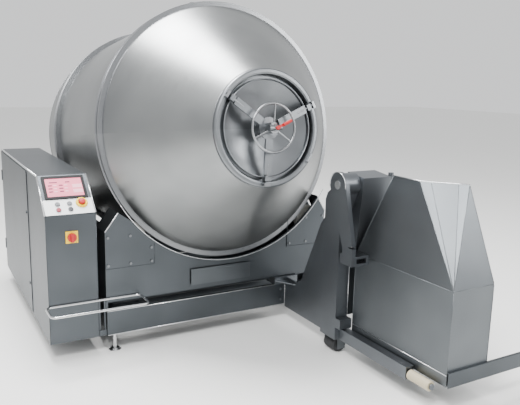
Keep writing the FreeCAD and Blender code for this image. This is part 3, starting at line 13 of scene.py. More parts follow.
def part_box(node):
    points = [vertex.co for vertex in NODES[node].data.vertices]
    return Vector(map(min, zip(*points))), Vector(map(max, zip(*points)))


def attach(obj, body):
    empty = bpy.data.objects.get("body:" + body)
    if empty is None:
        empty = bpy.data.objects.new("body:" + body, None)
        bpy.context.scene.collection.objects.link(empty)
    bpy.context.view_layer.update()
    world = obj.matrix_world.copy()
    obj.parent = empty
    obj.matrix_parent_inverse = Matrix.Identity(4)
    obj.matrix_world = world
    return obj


bl_info = {
    "name": "Vacuum Tumbler Dressing",
    "version": (1, 0, 0),
    "blender": (4, 5, 0),
    "location": "View3D > Sidebar > Tumbler",
    "description": "Finishes and fine parts of a meat vacuum tumbler over its packed frame",
    "category": "Object",
}

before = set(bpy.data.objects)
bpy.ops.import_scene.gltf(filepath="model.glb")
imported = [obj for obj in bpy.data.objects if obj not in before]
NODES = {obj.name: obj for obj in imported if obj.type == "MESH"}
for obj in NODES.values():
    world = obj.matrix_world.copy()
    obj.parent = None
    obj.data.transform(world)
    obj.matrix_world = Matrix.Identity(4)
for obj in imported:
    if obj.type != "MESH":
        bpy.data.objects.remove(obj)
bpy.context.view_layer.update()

# ---------------------------------------------------------------- where things stand
DRUM_TILT = math.radians(6)
RING_LOW, RING_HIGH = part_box("running_rings")
CABINET_LOW, CABINET_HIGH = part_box("cabinet_shell")
AXIS_X = (RING_LOW[0] + RING_HIGH[0]) / 2
FRONT_FACE_Y = CABINET_LOW[1]
FRONT_FACE_SETBACK = 0.140
RING_Y = FRONT_FACE_Y + FRONT_FACE_SETBACK
AXIS_HEIGHT = 1.290
DRUM = Matrix.Translation((AXIS_X, RING_Y, AXIS_HEIGHT)) @ Matrix.Rotation(math.pi / 2 - DRUM_TILT, 4, "X")
PLACE = Matrix.Translation((AXIS_X, RING_Y, 0))

MM = 0.001


# ---------------------------------------------------------------- colours and shader nodes
def linear(code):
    """An sRGB hex colour as linear RGBA."""
    parts = [int(code.lstrip("#")[i:i + 2], 16) / 255 for i in (0, 2, 4)]
    return tuple(c / 12.92 if c <= 0.04045 else ((c + 0.055) / 1.055) ** 2.4 for c in parts) + (1.0,)


def add_node(tree, kind, settings=None, inputs=None, links=None):
    """A shader node with its settings, its socket values and the outputs that feed it."""
    node = tree.nodes.new(kind)
    for key, value in (settings or {}).items():
        setattr(node, key, value)
    for key, value in (inputs or {}).items():
        node.inputs[key].default_value = value
    for key, source in (links or {}).items():
        tree.links.new(source, node.inputs[key])
    return node


def new_material(name, sockets):
    """A material with one principled shader whose constants sit on its own sockets."""
    material = bpy.data.materials.new(name)
    material.use_nodes = True
    shader = material.node_tree.nodes["Principled BSDF"]
    for key, value in sockets.items():
        shader.inputs[key].default_value = value
    return material, material.node_tree, shader


def grain(tree, vector, scale, detail=3.0, roughness=0.6):
    """A noise pattern over the given coordinates, stretched by a scale per axis."""
    mapping = add_node(tree, "ShaderNodeMapping", inputs={"Scale": scale}, links={"Vector": vector})
    return add_node(tree, "ShaderNodeTexNoise", inputs={"Scale": 1.0, "Detail": detail, "Roughness": roughness},
                    links={"Vector": mapping.outputs["Vector"]}).outputs["Fac"]


def between(tree, factor, low, high):
    """A factor spread over a narrower range of values."""
    return add_node(tree, "ShaderNodeMapRange", inputs={"To Min": low, "To Max": high, "From Min": 0.25, "From Max": 0.75},
                    links={"Value": factor}).outputs["Result"]


def tint(tree, shader, factor, dark, light):
    """Vary the shader's colour between two by a factor."""
    mix = tree.nodes.new("ShaderNodeMix")
    mix.data_type = "RGBA"
    mix.inputs[6].default_value = linear(dark)
    mix.inputs[7].default_value = linear(light)
    tree.links.new(factor, mix.inputs[0])
    tree.links.new(mix.outputs[2], shader.inputs["Base Color"])


def object_coordinates(tree):
    """Coordinates in the machine's frame."""
    return add_node(tree, "ShaderNodeTexCoord").outputs["Object"]


def around_drum(tree):
    """Coordinates round the drum: radius, angle times a radius of one metre, and distance along its axis."""
    turned = add_node(tree, "ShaderNodeMapping", {"vector_type": "TEXTURE"},
                      {"Location": DRUM.to_translation(), "Rotation": DRUM.to_euler()},
                      {"Vector": object_coordinates(tree)})
    parts = add_node(tree, "ShaderNodeSeparateXYZ", links={"Vector": turned.outputs["Vector"]})
    angle = add_node(tree, "ShaderNodeMath", {"operation": "ARCTAN2"},
                     links={0: parts.outputs["Y"], 1: parts.outputs["X"]})
    squares = [add_node(tree, "ShaderNodeMath", {"operation": "MULTIPLY"}, links={0: parts.outputs[k], 1: parts.outputs[k]})
               for k in ("X", "Y")]
    total = add_node(tree, "ShaderNodeMath", {"operation": "ADD"},
                     links={0: squares[0].outputs[0], 1: squares[1].outputs[0]})
    radius = add_node(tree, "ShaderNodeMath", {"operation": "SQRT"}, links={0: total.outputs[0]})
    return add_node(tree, "ShaderNodeCombineXYZ",
                    links={"X": radius.outputs[0], "Y": angle.outputs[0], "Z": parts.outputs["Z"]}).outputs["Vector"]


def bump(tree, shader, height, distance, strength=1.0):
    """Raise the surface by a height pattern, at most by a distance in metres."""
    node = add_node(tree, "ShaderNodeBump", inputs={"Strength": strength, "Distance": distance}, links={"Height": height})
    tree.links.new(node.outputs["Normal"], shader.inputs["Normal"])


def stainless(name, dark, light, rough, grit_mm, direction, bump_mm=0.02):
    """Stainless steel, metallic, with drawn grain along one axis and a faint cloudy shade."""
    material, tree, shader = new_material(name, {"Metallic": 1.0})
    place = object_coordinates(tree)
    across = 1 / (grit_mm * MM)
    along = across / 60
    scale = [across, across, across]
    scale["XYZ".index(direction)] = along
    lines = grain(tree, place, scale)
    cloud = grain(tree, place, (2.2, 2.2, 2.2), 2.0)
    tint(tree, shader, between(tree, cloud, 0, 1), dark, light)
    tree.links.new(between(tree, lines, rough - 0.06, rough + 0.08), shader.inputs["Roughness"])
    bump(tree, shader, lines, bump_mm * MM)
    return material


def drum_stainless(name, dark, light, rough, grit_mm, bump_mm=0.03):
    """Stainless sheet ground round and round, so the grain follows the drum's turns."""
    material, tree, shader = new_material(name, {"Metallic": 1.0})
    place = around_drum(tree)
    across = 1 / (grit_mm * MM)
    lines = grain(tree, place, (across, across / 90, across))
    cloud = grain(tree, place, (3.0, 1.2, 1.6), 2.0)
    tint(tree, shader, between(tree, cloud, 0, 1), dark, light)
    tree.links.new(between(tree, lines, rough - 0.05, rough + 0.07), shader.inputs["Roughness"])
    bump(tree, shader, lines, bump_mm * MM)
    return material


def moulded(name, colour, rough, grain_mm, sockets=None, bump_mm=0.03):
    """Moulded plastic or rubber with a fine even grain from the mould."""
    values = {"Base Color": linear(colour), "Metallic": 0.0, "IOR": 1.5}
    values.update(sockets or {})
    material, tree, shader = new_material(name, values)
    step = 1 / (grain_mm * MM)
    dots = grain(tree, object_coordinates(tree), (step, step, step), 2.0)
    tree.links.new(between(tree, dots, rough - 0.05, rough + 0.05), shader.inputs["Roughness"])
    bump(tree, shader, dots, bump_mm * MM)
    return material


def lit(name, colour, strength):
    """A glowing patch of a screen under smooth glass."""
    value = linear(colour) if isinstance(colour, str) else (*colour, 1.0)
    material, tree, shader = new_material(name, {"Base Color": value, "Roughness": 0.16, "Emission Color": value,
                                                 "Emission Strength": strength, "Coat Weight": 0.4})
    return material


def enamelled(name, colour, rough, sockets=None):
    """Painted casting or powder coat: a little orange peel under a soft sheen."""
    return moulded(name, colour, rough, 3.0, {"Coat Weight": 0.25, "Coat Roughness": 0.2, **(sockets or {})}, 0.06)


# ---------------------------------------------------------------- finishes
MATERIALS = {}


def make_materials(colours):
    """All finishes of the machine, each named for what it is."""
    MATERIALS.update({
        # ground sheet, fine grit: soft broad highlights with faint turning lines
        "ground_stainless_drum": drum_stainless("ground_stainless_drum", "#808283", "#969898", 0.33, 1.6),
        # turned and polished rims: brighter and tighter
        "turned_stainless": drum_stainless("turned_stainless", "#85878A", "#9A9C9E", 0.3, 0.9),
        # brushed upright sheet: darker, grain runs up
        "brushed_stainless_upright": stainless("brushed_stainless_upright", "#4A4E51", "#585C60", 0.38, 1.1, "Z"),
        "brushed_stainless_level": stainless("brushed_stainless_level", "#4A4E51", "#585C60", 0.38, 1.1, "X"),
        # painted shade: a darker copy of the drum's steel for the lid, its spider, arms and collar, standing in for the
        # shade in the dish and the recess round it
        "lid_shaded_stainless": drum_stainless("lid_shaded_stainless", "#74777A", "#888B8E", 0.34, 1.2),
        "screw_stainless": stainless("screw_stainless", "#6E7174", "#7C7F82", 0.4, 0.6, "X"),
        # painted light: a lighter copy of the frame's steel for the loader, whose faces turn away from the lamps
        "lightened_loader_stainless": stainless("lightened_loader_stainless", "#66696D", "#75797D", 0.42, 1.2, "Z"),
        "hopper_stainless": stainless("hopper_stainless", "#606467", "#707477", 0.4, 1.4, "Z"),
        "polished_stainless_rod": stainless("polished_stainless_rod", "#C6C7C8", "#D4D5D6", 0.18, 0.6, "X"),
        # painted highlight: pale steel for rims, lips, folds and edge strips, standing in for the light that catches
        # sheet edges
        "edge_highlight_steel": stainless("edge_highlight_steel", "#D4D6D8", "#E2E3E4", 0.28, 0.8, "X"),
        # painted shade: the darkest steel, for the plate that fills the slot behind the hopper with shade
        "shade_plate_stainless": stainless("shade_plate_stainless", "#3C3F42", "#484C4F", 0.5, 1.2, "Z"),
        "plain_plate": stainless("plain_plate", "#53575A", "#62666A", 0.32, 1.0, "X"),
        "cast_nylon": moulded("cast_nylon", "#8E8E8A", 0.45, 1.5),
        "natural_nylon": moulded("natural_nylon", "#B9AE93", 0.5, 1.5),
        "silicone_rubber": moulded("silicone_rubber", "#C9C8C2", 0.62, 1.2),
        "red_abs": moulded("red_abs", "#B40F14", 0.38, 1.2, {"Coat Weight": 0.15, "Coat Roughness": 0.2}),
        "yellow_abs": moulded("yellow_abs", "#F4C91A", 0.4, 1.2),
        "black_abs": moulded("black_abs", "#0B0A0D", 0.55, 0.9, {"Specular IOR Level": 0.25}),
        "grey_abs": moulded("grey_abs", "#6E7074", 0.35, 0.9),
        "dark_grey_abs": moulded("dark_grey_abs", "#3A3A40", 0.35, 0.9),
        "dull_red_abs": moulded("dull_red_abs", "#93323F", 0.35, 0.9),
        "wheel_rubber": moulded("wheel_rubber", "#2A2B2D", 0.7, 1.5),
        "screen_field": lit("screen_field", "#F0AEBB", 0.55),
        "screen_mark": lit("screen_mark", "#7A3B55", 0.12),
        "white_powder_coat": enamelled("white_powder_coat", "#ECEEEE", 0.4),
        "blue_grey_enamel": enamelled("blue_grey_enamel", "#3C4A5A", 0.42),
        "grey_enamel": enamelled("grey_enamel", "#63676A", 0.48),
        "machined_brass": stainless("machined_brass", "#B08A45", "#C09A55", 0.3, 0.8, "Y"),
        "screen_glass": lit("screen_glass", colours.screen, 0.5),
    })


FINISHES = {
    "ground_stainless_drum": ("drum_shell", "top_lug"),
    # the lid's parts take the darker steel, a painted shade
    "lid_shaded_stainless": ("lid_dish", "mouth_collar", "lid_spider"),
    "screw_stainless": ("cover_screws",),
    "turned_stainless": ("running_rings", "collar_lugs", "rear_shaft", "handwheel",
                         "vacuum_valve", "locking_bolt_1", "locking_bolt_2", "locking_bolt_3"),
    "brushed_stainless_upright": ("front_saddle", "rear_saddle", "roller_covers", "cabinet_shell", "cabinet_door",
                                  "rear_post", "mixing_paddles"),
    # the loader's parts take the lighter steel, painted light on faces turned from the lamps
    "lightened_loader_stainless": ("loader_console", "loader_column", "tipping_arm", "cross_housing", "loader_leg"),
    "hopper_stainless": ("hopper",),
    "brushed_stainless_level": ("base_frame", "front_beam", "lip_rail", "guide_rail"),
    "polished_stainless_rod": ("guard_loop", "vacuum_pipe", "pivot_shaft", "roller_axles",
                               "levelling_feet", "button_collars"),
    "cast_nylon": ("front_left_roller", "front_right_roller", "rear_left_roller", "rear_right_roller"),
    "natural_nylon": ("leg_end_roller",),
    "wheel_rubber": ("column_wheel",),
    "silicone_rubber": ("lid_seal",),
    "red_abs": ("valve_lever", "e_stop_button", "main_switch_knob"),
    "yellow_abs": ("main_switch_plate",),
    "black_abs": ("screen_bezel",),
    "grey_abs": ("push_button_1", "push_button_2"),
    "dark_grey_abs": ("push_button_4",),
    "dull_red_abs": ("push_button_3",),
    "white_powder_coat": ("control_panel",),
    "screen_glass": ("touch_screen",),
    "blue_grey_enamel": ("gear_motor", "vacuum_pump"),
    "grey_enamel": ("axle_blocks", "rear_bearing"),
    "machined_brass": ("rotary_union",),
}


# ---------------------------------------------------------------- mesh pieces
def finish_piece(mesh, name, material, body, smooth=True):
    """A mesh as a piece that rides on a body and takes one of the record's slots."""
    piece = bpy.data.objects.new(name, mesh)
    bpy.context.scene.collection.objects.link(piece)
    mesh.materials.append(MATERIALS[material])
    for face in mesh.polygons:
        face.use_smooth = smooth
    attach(piece, body)
    return piece


def add_tube(work, points, radius, closed=False, sides=10, flat=1.0):
    """Skin a round rod along points into a bmesh; flat squeezes its section."""
    count = len(points)
    rings = []
    for i, here in enumerate(points):
        before = points[i - 1] if (closed or i > 0) else here
        after = points[(i + 1) % count] if (closed or i < count - 1) else here
        along = (after - before).normalized()
        side = along.orthogonal().normalized() if not rings else (last_side - along * last_side.dot(along)).normalized()
        last_side = side
        up = along.cross(side)
        ring = []
        for k in range(sides):
            turn = 2 * math.pi * k / sides
            ring.append(work.verts.new(here + side * (radius * math.cos(turn)) + up * (radius * flat * math.sin(turn))))
        rings.append(ring)
    spans = count if closed else count - 1
    for i in range(spans):
        low, high = rings[i], rings[(i + 1) % count]
        for k in range(sides):
            work.faces.new((low[k], low[(k + 1) % sides], high[(k + 1) % sides], high[k]))
    if not closed:
        work.faces.new(rings[0][::-1])
        work.faces.new(rings[-1])


def add_block(work, size, place, bevel):
    """A block with rounded edges, by its three sizes and the placement of its middle."""
    start = len(work.verts)
    made = bmesh.ops.create_cube(work, size=1.0, matrix=place @ Matrix.Diagonal((*size, 1)))
    edges = {e for v in made["verts"] for e in v.link_edges}
    bmesh.ops.bevel(work, geom=list(edges), offset=bevel, segments=2, affect="EDGES")
    return start


def to_mesh(work, name):
    """Close a bmesh into a mesh with outward faces."""
    bmesh.ops.recalc_face_normals(work, faces=work.faces)
    mesh = bpy.data.meshes.new(name)
    work.to_mesh(mesh)
    work.free()
    return mesh


def drum_circle(radius, along, steps=144):
    """Points round the drum at a radius and a distance along its axis."""
    return [DRUM @ Vector((radius * math.cos(a), radius * math.sin(a), along))
            for a in (2 * math.pi * k / steps for k in range(steps))]


def dress_nodes():
    """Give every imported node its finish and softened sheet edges."""
    for material, names in FINISHES.items():
        for name in names:
            node = NODES[name]
            node.data.materials.clear()
            node.data.materials.append(MATERIALS[material])
    for name in EDGE_SOFTENED:
        soften = NODES[name].modifiers.new("rolled_edges", "BEVEL")
        soften.width = 1.6 * MM
        soften.segments = 2
        soften.limit_method = "ANGLE"
        soften.angle_limit = math.radians(40)
        soften.harden_normals = True


EDGE_SOFTENED = ("cabinet_shell", "cabinet_door", "screen_bezel", "main_switch_plate", "front_saddle", "roller_covers",
                 "front_beam", "base_frame", "loader_console", "loader_column", "loader_leg", "tipping_arm",
                 "cross_housing", "rear_post", "top_lug", "hopper")


def spot(x, y, z):
    """A point given in millimetres from the drum's axis, its front ring and the floor."""
    return PLACE @ Vector((x * MM, y * MM, z * MM))


def add_strips(name, material, body, runs, radius, sides=8, flat=1.0):
    """A piece made of round strips, one for each run of points."""
    work = bmesh.new()
    for points in runs:
        add_tube(work, points, radius, sides=sides, flat=flat)
    return finish_piece(to_mesh(work, name), name, material, body)


def build_drum_seams():
    """Weld beads where the cone, the cylinder and the dished back meet."""
    work = bmesh.new()
    for radius, along, bead in ((0.770, 0.044, 0.0022), (0.770, -1.540, 0.0022), (0.3325, 0.5865, 0.002)):
        add_tube(work, drum_circle(radius, along), bead, closed=True, sides=8)
    finish_piece(to_mesh(work, "drum_seams"), "drum_seams", "turned_stainless", "drum")


# ---------------------------------------------------------------- cabinet and console
CABINET_LEFT, CABINET_RIGHT = -1132, -850
CABINET_MIDDLE = (CABINET_LEFT + CABINET_RIGHT) / 2
CABINET_FRONT, CABINET_BACK, CABINET_FOLD, CABINET_TOP, CABINET_SLOPE = -140, 1540, 855, 1050, 212
CONSOLE_PITCH = math.atan2(CABINET_TOP - CABINET_FOLD, CABINET_SLOPE)
SLOPE_LENGTH = math.hypot(CABINET_TOP - CABINET_FOLD, CABINET_SLOPE)


def console(across, up, lift):
    """A point on the console, in millimetres from the middle of its lower fold."""
    return spot(CABINET_MIDDLE + across, CABINET_FRONT + up * math.cos(CONSOLE_PITCH) - lift * math.sin(CONSOLE_PITCH),
                CABINET_FOLD + up * math.sin(CONSOLE_PITCH) + lift * math.cos(CONSOLE_PITCH))


def build_cabinet_trim():
    """Rolled lips along the slope and the cabinet's folds; the lips are pale steel, a painted highlight."""
    half = (CABINET_RIGHT - CABINET_LEFT) / 2
    lips = [[console(side * (half - 2), up, 2.5) for up in (3, SLOPE_LENGTH - 3)] for side in (-1, 1)]
    lips.append([spot(CABINET_LEFT + 2, y, CABINET_TOP) for y in (CABINET_FRONT + CABINET_SLOPE, CABINET_BACK)])
    add_strips("cabinet_lips", "edge_highlight_steel", "machine_frame", lips, 5 * MM)
    front = CABINET_FRONT
    folds = [[spot(x, front, 110), spot(x, front, CABINET_FOLD - 4)] for x in (CABINET_LEFT + 2, CABINET_RIGHT - 2)]
    folds.append([spot(CABINET_LEFT + 2, front, CABINET_FOLD), spot(CABINET_RIGHT - 2, front, CABINET_FOLD)])
    add_strips("cabinet_folds", "brushed_stainless_upright", "machine_frame", folds, 1.8 * MM)


def build_screen_page():
    """A plain page on the screen: a heading, three rows of dark marks with pale fields, and two pale keys."""
    base, top = 151, 237
    lift = 7.2
    fields = [(72, base + 10, 54, 26), (72, base + 46, 54, 26)]
    marks = [(-58, top - 8, 44, 6), (22, top - 8, 26, 6)]
    for row in range(3):
        up = base + 12 + row * 22
        for column in (-78, -18):
            marks.append((column, up, 22, 7))
            fields.append((column + 27, up, 18, 9))
    for name, material, patches, height in (("screen_fields", "screen_field", fields, 0.6),
                                            ("screen_marks", "screen_mark", marks, 0.8)):
        work = bmesh.new()
        for across, up, width, tall in patches:
            place = Matrix.Translation(console(across, up, lift)) @ Matrix.Rotation(CONSOLE_PITCH, 4, "X")
            add_block(work, (width * MM, tall * MM, height * MM), place, 0.2 * MM)
        finish_piece(to_mesh(work, name), name, material, "machine_frame", smooth=False)


def build_stop_ring():
    """Yellow guard ring round the stop button's seat."""
    work = bmesh.new()
    low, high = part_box("e_stop_button")
    middle = (Vector(low) + Vector(high)) / 2
    out = Vector((0, -math.sin(CONSOLE_PITCH), math.cos(CONSOLE_PITCH)))
    right = Vector((1, 0, 0))
    up = out.cross(right)
    centre = middle - out * 12 * MM
    steps = 40
    points = [centre + right * (26 * MM * math.cos(a)) + up * (26 * MM * math.sin(a))
              for a in (2 * math.pi * k / steps for k in range(steps))]
    add_tube(work, points, 8 * MM, closed=True, sides=12)
    finish_piece(to_mesh(work, "stop_ring"), "stop_ring", "yellow_abs", "machine_frame")


# ---------------------------------------------------------------- frame
def build_saddle_trim():
    """Rolled rim of the front saddle's hollow, the bare plate on its face and the beam's top fold; rim, cover edges and
    folds are pale steel, a painted highlight.
    """
    tread, flange, gap = 0.792, 0.008, 0.022
    radius = tread + flange + gap + 0.0025
    front = CABINET_FRONT - 12
    centre = AXIS_HEIGHT + 0.146 * math.tan(DRUM_TILT)
    lowest = 1.04
    steps = 48
    arc = [PLACE @ Vector((radius * math.sin(a), front * MM, centre - radius * math.cos(a)))
           for a in (lowest * (2 * k / steps - 1) for k in range(steps + 1))]
    face = CABINET_FRONT - 5
    slopes = [[spot(-805, face, 736), spot(-723, face, 844)], [spot(735, face, 736), spot(669, face, 844)]]
    add_strips("cover_rims", "edge_highlight_steel", "machine_frame", slopes, 3.5 * MM)
    seams = [[spot(side * a, face, z) for a, z in ((edge - 4, 511), (edge - 299, 511), (edge - 299, inner))]
             for side, edge, inner in ((-1, 805, 650), (1, 735, 700))]
    add_strips("cover_seams", "brushed_stainless_level", "machine_frame", seams, 1.6 * MM)
    add_strips("saddle_rim", "edge_highlight_steel", "machine_frame", [arc], 2.6 * MM)
    beam = [[spot(-803, front, 255), spot(423, front, 255)], [spot(-803, front, 107), spot(423, front, 107)]]
    add_strips("beam_folds", "edge_highlight_steel", "machine_frame", beam, 2.4 * MM)
    plate = bmesh.new()
    place = Matrix.Translation(spot(*BARE_PLATE_MIDDLE)) @ Matrix.Rotation(math.pi / 2, 4, "X")
    add_block(plate, (BARE_PLATE_SIZE[0] * MM, BARE_PLATE_SIZE[1] * MM, 1.2 * MM), place, 0.5 * MM)
    finish_piece(to_mesh(plate, "bare_plate"), "bare_plate", "plain_plate", "machine_frame", smooth=False)


BARE_PLATE_MIDDLE = (-60, -152.7, 392)
BARE_PLATE_SIZE = (420, 104)


# ---------------------------------------------------------------- hopper
HOPPER_LEFT, HOPPER_RIGHT, HOPPER_BACK, HOPPER_FRONT = 478, 760, -836, -1590
HOPPER_BOTTOM, HOPPER_KINK, HOPPER_TOP = 140, 635, 1120
SPOUT_LEFT, SPOUT_RIGHT, SPOUT_BACK, SPOUT_FRONT = 555, 708, -1030, -1426
SPOUT_FALL = 45


def hopper_points():
    """The hopper's kink corners and the points round its mouth."""
    width = SPOUT_RIGHT - SPOUT_LEFT
    run = SPOUT_BACK - SPOUT_FRONT
    mouth = [(SPOUT_LEFT, SPOUT_BACK), (SPOUT_LEFT, SPOUT_BACK - 0.505 * run),
             (SPOUT_LEFT + 0.215 * width, SPOUT_BACK - 0.624 * run),
             (SPOUT_LEFT + 0.81 * width, SPOUT_BACK - 0.886 * run), (SPOUT_RIGHT, SPOUT_FRONT),
             (SPOUT_RIGHT, SPOUT_BACK)]
    corners = [(HOPPER_LEFT, HOPPER_BACK), (HOPPER_LEFT, HOPPER_FRONT), (HOPPER_RIGHT, HOPPER_FRONT),
               (HOPPER_RIGHT, HOPPER_BACK)]
    return corners, mouth


def build_hopper_welds():
    """Weld beads down the hopper's folds, the rolled rim of its mouth and the hem along its foot; rim and hem are pale
    steel, a painted highlight.
    """
    corners, mouth = hopper_points()
    kink = [spot(x, y, HOPPER_KINK) for x, y in corners]
    foot = [spot(x, y, HOPPER_BOTTOM + 2) for x, y in corners]
    rim = [spot(x, y, HOPPER_TOP - 2) for x, y in mouth]
    rim[-1].z -= SPOUT_FALL * MM
    back_left, front_left, front_right, back_right = kink
    runs = [(back_left, rim[0]), (front_left, rim[1]), (front_left, rim[2]), (front_left, rim[3]), (front_left, rim[4]),
            (front_right, rim[4]), (back_right, rim[5])]
    runs += list(zip(kink, foot)) + [(front_left, front_right), (back_left, front_left)]
    beads = [[a + (b - a) * t for t in (0.01, 0.33, 0.66, 0.99)] for a, b in runs]
    add_strips("hopper_welds", "hopper_stainless", "tipping_hopper", beads, 1.8 * MM)
    work = bmesh.new()
    add_tube(work, rim, 3.2 * MM, closed=True, sides=10)
    hem = [spot(HOPPER_LEFT, y, HOPPER_BOTTOM + 60) for y in (HOPPER_BACK - 4, HOPPER_FRONT + 4)]
    hem.append(spot(HOPPER_RIGHT - 4, HOPPER_FRONT, HOPPER_BOTTOM + 60))
    add_tube(work, [hem[0], hem[1]], 2.2 * MM, sides=8)
    add_tube(work, [hem[1], hem[2]], 2.2 * MM, sides=8)
    finish_piece(to_mesh(work, "hopper_rim"), "hopper_rim", "edge_highlight_steel", "tipping_hopper")


# ---------------------------------------------------------------- loader
COLUMN_RIGHT, COLUMN_FRONT = 470, -790
ARM_LEFT, PIVOT_Y, PIVOT_HEIGHT = 357, -790, 1040


def build_loader_trim():
    """A dark plate up the column behind the hopper, painted shade in the slot there, and the rolled edges of column and
    arm in pale steel, a painted highlight.
    """
    work = bmesh.new()
    low, high, depth = 240, 585, 7
    # painted shade: a dark plate that fills the slot between column and hopper
    place = Matrix.Translation(spot(COLUMN_RIGHT + 30, COLUMN_FRONT + depth, (low + high) / 2))
    add_block(work, (58 * MM, 8 * MM, (high - low) * MM), place, 1 * MM)
    finish_piece(to_mesh(work, "column_shade_plate"), "column_shade_plate", "shade_plate_stainless", "loader",
                 smooth=False)
    head = 74
    edge = [spot(ARM_LEFT - 1, PIVOT_Y + head * math.sin(a), PIVOT_HEIGHT + head * math.cos(a))
            for a in (math.radians(-100 + 20 * k) for k in range(11))]
    add_strips("arm_rim", "edge_highlight_steel", "tipping_hopper", [edge], 2.4 * MM)
    corner = [[spot(COLUMN_RIGHT, COLUMN_FRONT, z) for z in (245, 590)]]
    add_strips("column_edge", "edge_highlight_steel", "loader", corner, 2.2 * MM)


# ---------------------------------------------------------------- lid
SPIDER_ANGLES = [math.radians(24 + 120 * k) for k in range(3)]


def build_lid_arms():
    """Folded channels along the spider's arms, as wide as the arms of the real lid."""
    arms = bmesh.new()
    for angle in SPIDER_ANGLES:
        place = DRUM @ Matrix.Rotation(angle, 4, "Z") @ Matrix.Translation((ARM_MIDDLE, 0, ARM_TOP - 0.006))
        add_block(arms, (ARM_LENGTH, ARM_WIDTH, 0.006), place, 0.0015)
    # the arms take the lid's darker steel, a painted shade
    finish_piece(to_mesh(arms, "arm_channels"), "arm_channels", "lid_shaded_stainless", "lid",
                 smooth=False)


ARM_MIDDLE, ARM_LENGTH, ARM_WIDTH, ARM_TOP = 0.160, 0.195, 0.046, 0.634


# ---------------------------------------------------------------- stage
CAMERA_SPOT = Vector((-1.740, -3.587, 1.613))
CAMERA_YAW = math.radians(29.64)
CAMERA_PITCH = math.radians(11.16)
CAMERA_ROLL = math.radians(-1.27)
CAMERA_LENS = 42.81


def place_camera():
    """Stand the camera at the operator's left, a little above the lid, level but for a slight roll."""
    ahead = Vector((math.sin(CAMERA_YAW) * math.cos(CAMERA_PITCH), math.cos(CAMERA_YAW) * math.cos(CAMERA_PITCH),
                    -math.sin(CAMERA_PITCH)))
    right = Vector((math.cos(CAMERA_YAW), -math.sin(CAMERA_YAW), 0))
    down = ahead.cross(right)
    right, down = (math.cos(CAMERA_ROLL) * right + math.sin(CAMERA_ROLL) * down,
                   -math.sin(CAMERA_ROLL) * right + math.cos(CAMERA_ROLL) * down)
    turn = Matrix((right, -down, -ahead)).transposed().to_4x4()
    data = bpy.data.cameras.new("camera")
    data.lens = CAMERA_LENS
    data.sensor_width = 36
    camera = bpy.data.objects.new("camera", data)
    camera.matrix_world = Matrix.Translation(PLACE @ CAMERA_SPOT) @ turn
    bpy.context.scene.collection.objects.link(camera)
    bpy.context.scene.camera = camera


def area_light(name, spot, aim, size, power):
    """A soft square lamp that looks at a point."""
    data = bpy.data.lights.new(name, "AREA")
    data.size = size
    data.energy = power
    lamp = bpy.data.objects.new(name, data)
    lamp.location = spot
    lamp.rotation_euler = (Vector(aim) - Vector(spot)).to_track_quat("-Z", "Y").to_euler()
    bpy.context.scene.collection.objects.link(lamp)


def build_stage():
    """Pale floor, soft lamps, a pale sky and the camera."""
    work = bmesh.new()
    bmesh.ops.create_grid(work, x_segments=2, y_segments=2, size=30)
    mesh = to_mesh(work, "floor")
    floor = bpy.data.objects.new("floor", mesh)
    material, tree, shader = new_material("pale_floor", {"Roughness": 0.85, "Base Color": linear("#F1F1EF")})
    mesh.materials.append(material)
    bpy.context.scene.collection.objects.link(floor)
    world = bpy.data.worlds.new("studio")
    world.use_nodes = True
    world.node_tree.nodes["Background"].inputs["Color"].default_value = linear("#F2F3F4")
    world.node_tree.nodes["Background"].inputs["Strength"].default_value = 1.15
    bpy.context.scene.world = world
    area_light("key_lamp", (-2.6, -3.4, 5.0), (0, -0.3, 1.6), 1.5, 330)
    area_light("top_lamp", (-0.9, 0.6, 5.8), (-0.3, -0.4, 1.7), 2.2, 620)
    area_light("fill_lamp", (3.4, -4.2, 2.6), (0.6, -1.2, 0.7), 1.8, 110)
    place_camera()


# ---------------------------------------------------------------- add-on layout
class TumblerColours(bpy.types.PropertyGroup):
    """Colours that a user would change."""

    screen: FloatVectorProperty(name="Screen", description="Colour of the lit screen", subtype="COLOR", size=3,
                                default=(0.80, 0.22, 0.30))


class TUMBLER_OT_dress_nodes(bpy.types.Operator):
    """Give the machine's parts their finishes"""

    bl_idname = "tumbler.dress_nodes"
    bl_label = "Finish the Parts"

    def execute(self, context):
        make_materials(context.scene.tumbler_colours)
        dress_nodes()
        return {"FINISHED"}


class TUMBLER_OT_drum_seams(bpy.types.Operator):
    """Lay the drum's weld beads"""

    bl_idname = "tumbler.drum_seams"
    bl_label = "Drum Seams"

    def execute(self, context):
        build_drum_seams()
        return {"FINISHED"}


class TUMBLER_OT_cabinet_trim(bpy.types.Operator):
    """Roll the cabinet's lips and lay out its screen page and stop ring"""

    bl_idname = "tumbler.cabinet_trim"
    bl_label = "Cabinet Trim"

    def execute(self, context):
        build_cabinet_trim()
        build_screen_page()
        build_stop_ring()
        return {"FINISHED"}


class TUMBLER_OT_saddle_trim(bpy.types.Operator):
    """Rim the front saddle and add its bare plate and the beam's folds"""

    bl_idname = "tumbler.saddle_trim"
    bl_label = "Saddle Trim"

    def execute(self, context):
        build_saddle_trim()
        return {"FINISHED"}


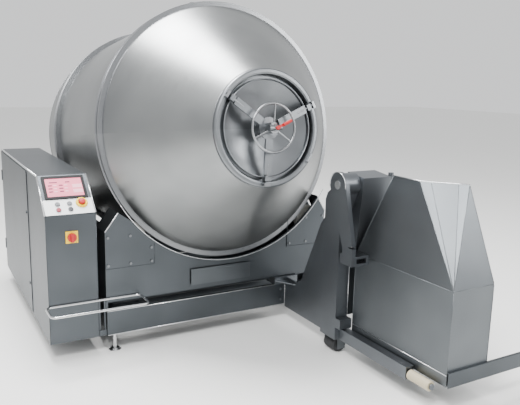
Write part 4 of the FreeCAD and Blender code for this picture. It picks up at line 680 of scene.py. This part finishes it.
class TUMBLER_OT_hopper_welds(bpy.types.Operator):
    """Weld and rim the hopper"""

    bl_idname = "tumbler.hopper_welds"
    bl_label = "Hopper Welds"

    def execute(self, context):
        build_hopper_welds()
        return {"FINISHED"}


class TUMBLER_OT_loader_trim(bpy.types.Operator):
    """Add the column's dark plate, a painted shade, and the loader's rolled edges in pale steel, a painted highlight"""

    bl_idname = "tumbler.loader_trim"
    bl_label = "Loader Trim"

    def execute(self, context):
        build_loader_trim()
        return {"FINISHED"}


class TUMBLER_OT_lid_arms(bpy.types.Operator):
    """Fold the channels along the lid's arms"""

    bl_idname = "tumbler.lid_arms"
    bl_label = "Lid Arms"

    def execute(self, context):
        build_lid_arms()
        return {"FINISHED"}


class TUMBLER_OT_stage(bpy.types.Operator):
    """Set the floor, lamps and camera"""

    bl_idname = "tumbler.stage"
    bl_label = "Stage"

    def execute(self, context):
        build_stage()
        return {"FINISHED"}


STEPS = (TUMBLER_OT_dress_nodes, TUMBLER_OT_drum_seams, TUMBLER_OT_cabinet_trim, TUMBLER_OT_saddle_trim,
         TUMBLER_OT_hopper_welds, TUMBLER_OT_loader_trim, TUMBLER_OT_lid_arms, TUMBLER_OT_stage)


class TUMBLER_PT_panel(bpy.types.Panel):
    """Lists the steps that dress the machine."""

    bl_label = "Vacuum Tumbler"
    bl_idname = "TUMBLER_PT_panel"
    bl_space_type = "VIEW_3D"
    bl_region_type = "UI"
    bl_category = "Tumbler"

    def draw(self, context):
        self.layout.prop(context.scene.tumbler_colours, "screen")
        for step in STEPS:
            self.layout.operator(step.bl_idname)


CLASSES = (TumblerColours,) + STEPS + (TUMBLER_PT_panel,)


def register():
    """Add the classes and the scene's settings."""
    for item in CLASSES:
        bpy.utils.register_class(item)
    bpy.types.Scene.tumbler_colours = PointerProperty(type=TumblerColours)


def unregister():
    """Take the settings and the classes away."""
    del bpy.types.Scene.tumbler_colours
    for item in reversed(CLASSES):
        bpy.utils.unregister_class(item)


def main():
    """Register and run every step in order."""
    register()
    for step in STEPS:
        group, call = step.bl_idname.split(".")
        getattr(getattr(bpy.ops, group), call)()


if __name__ == "__main__":
    main()
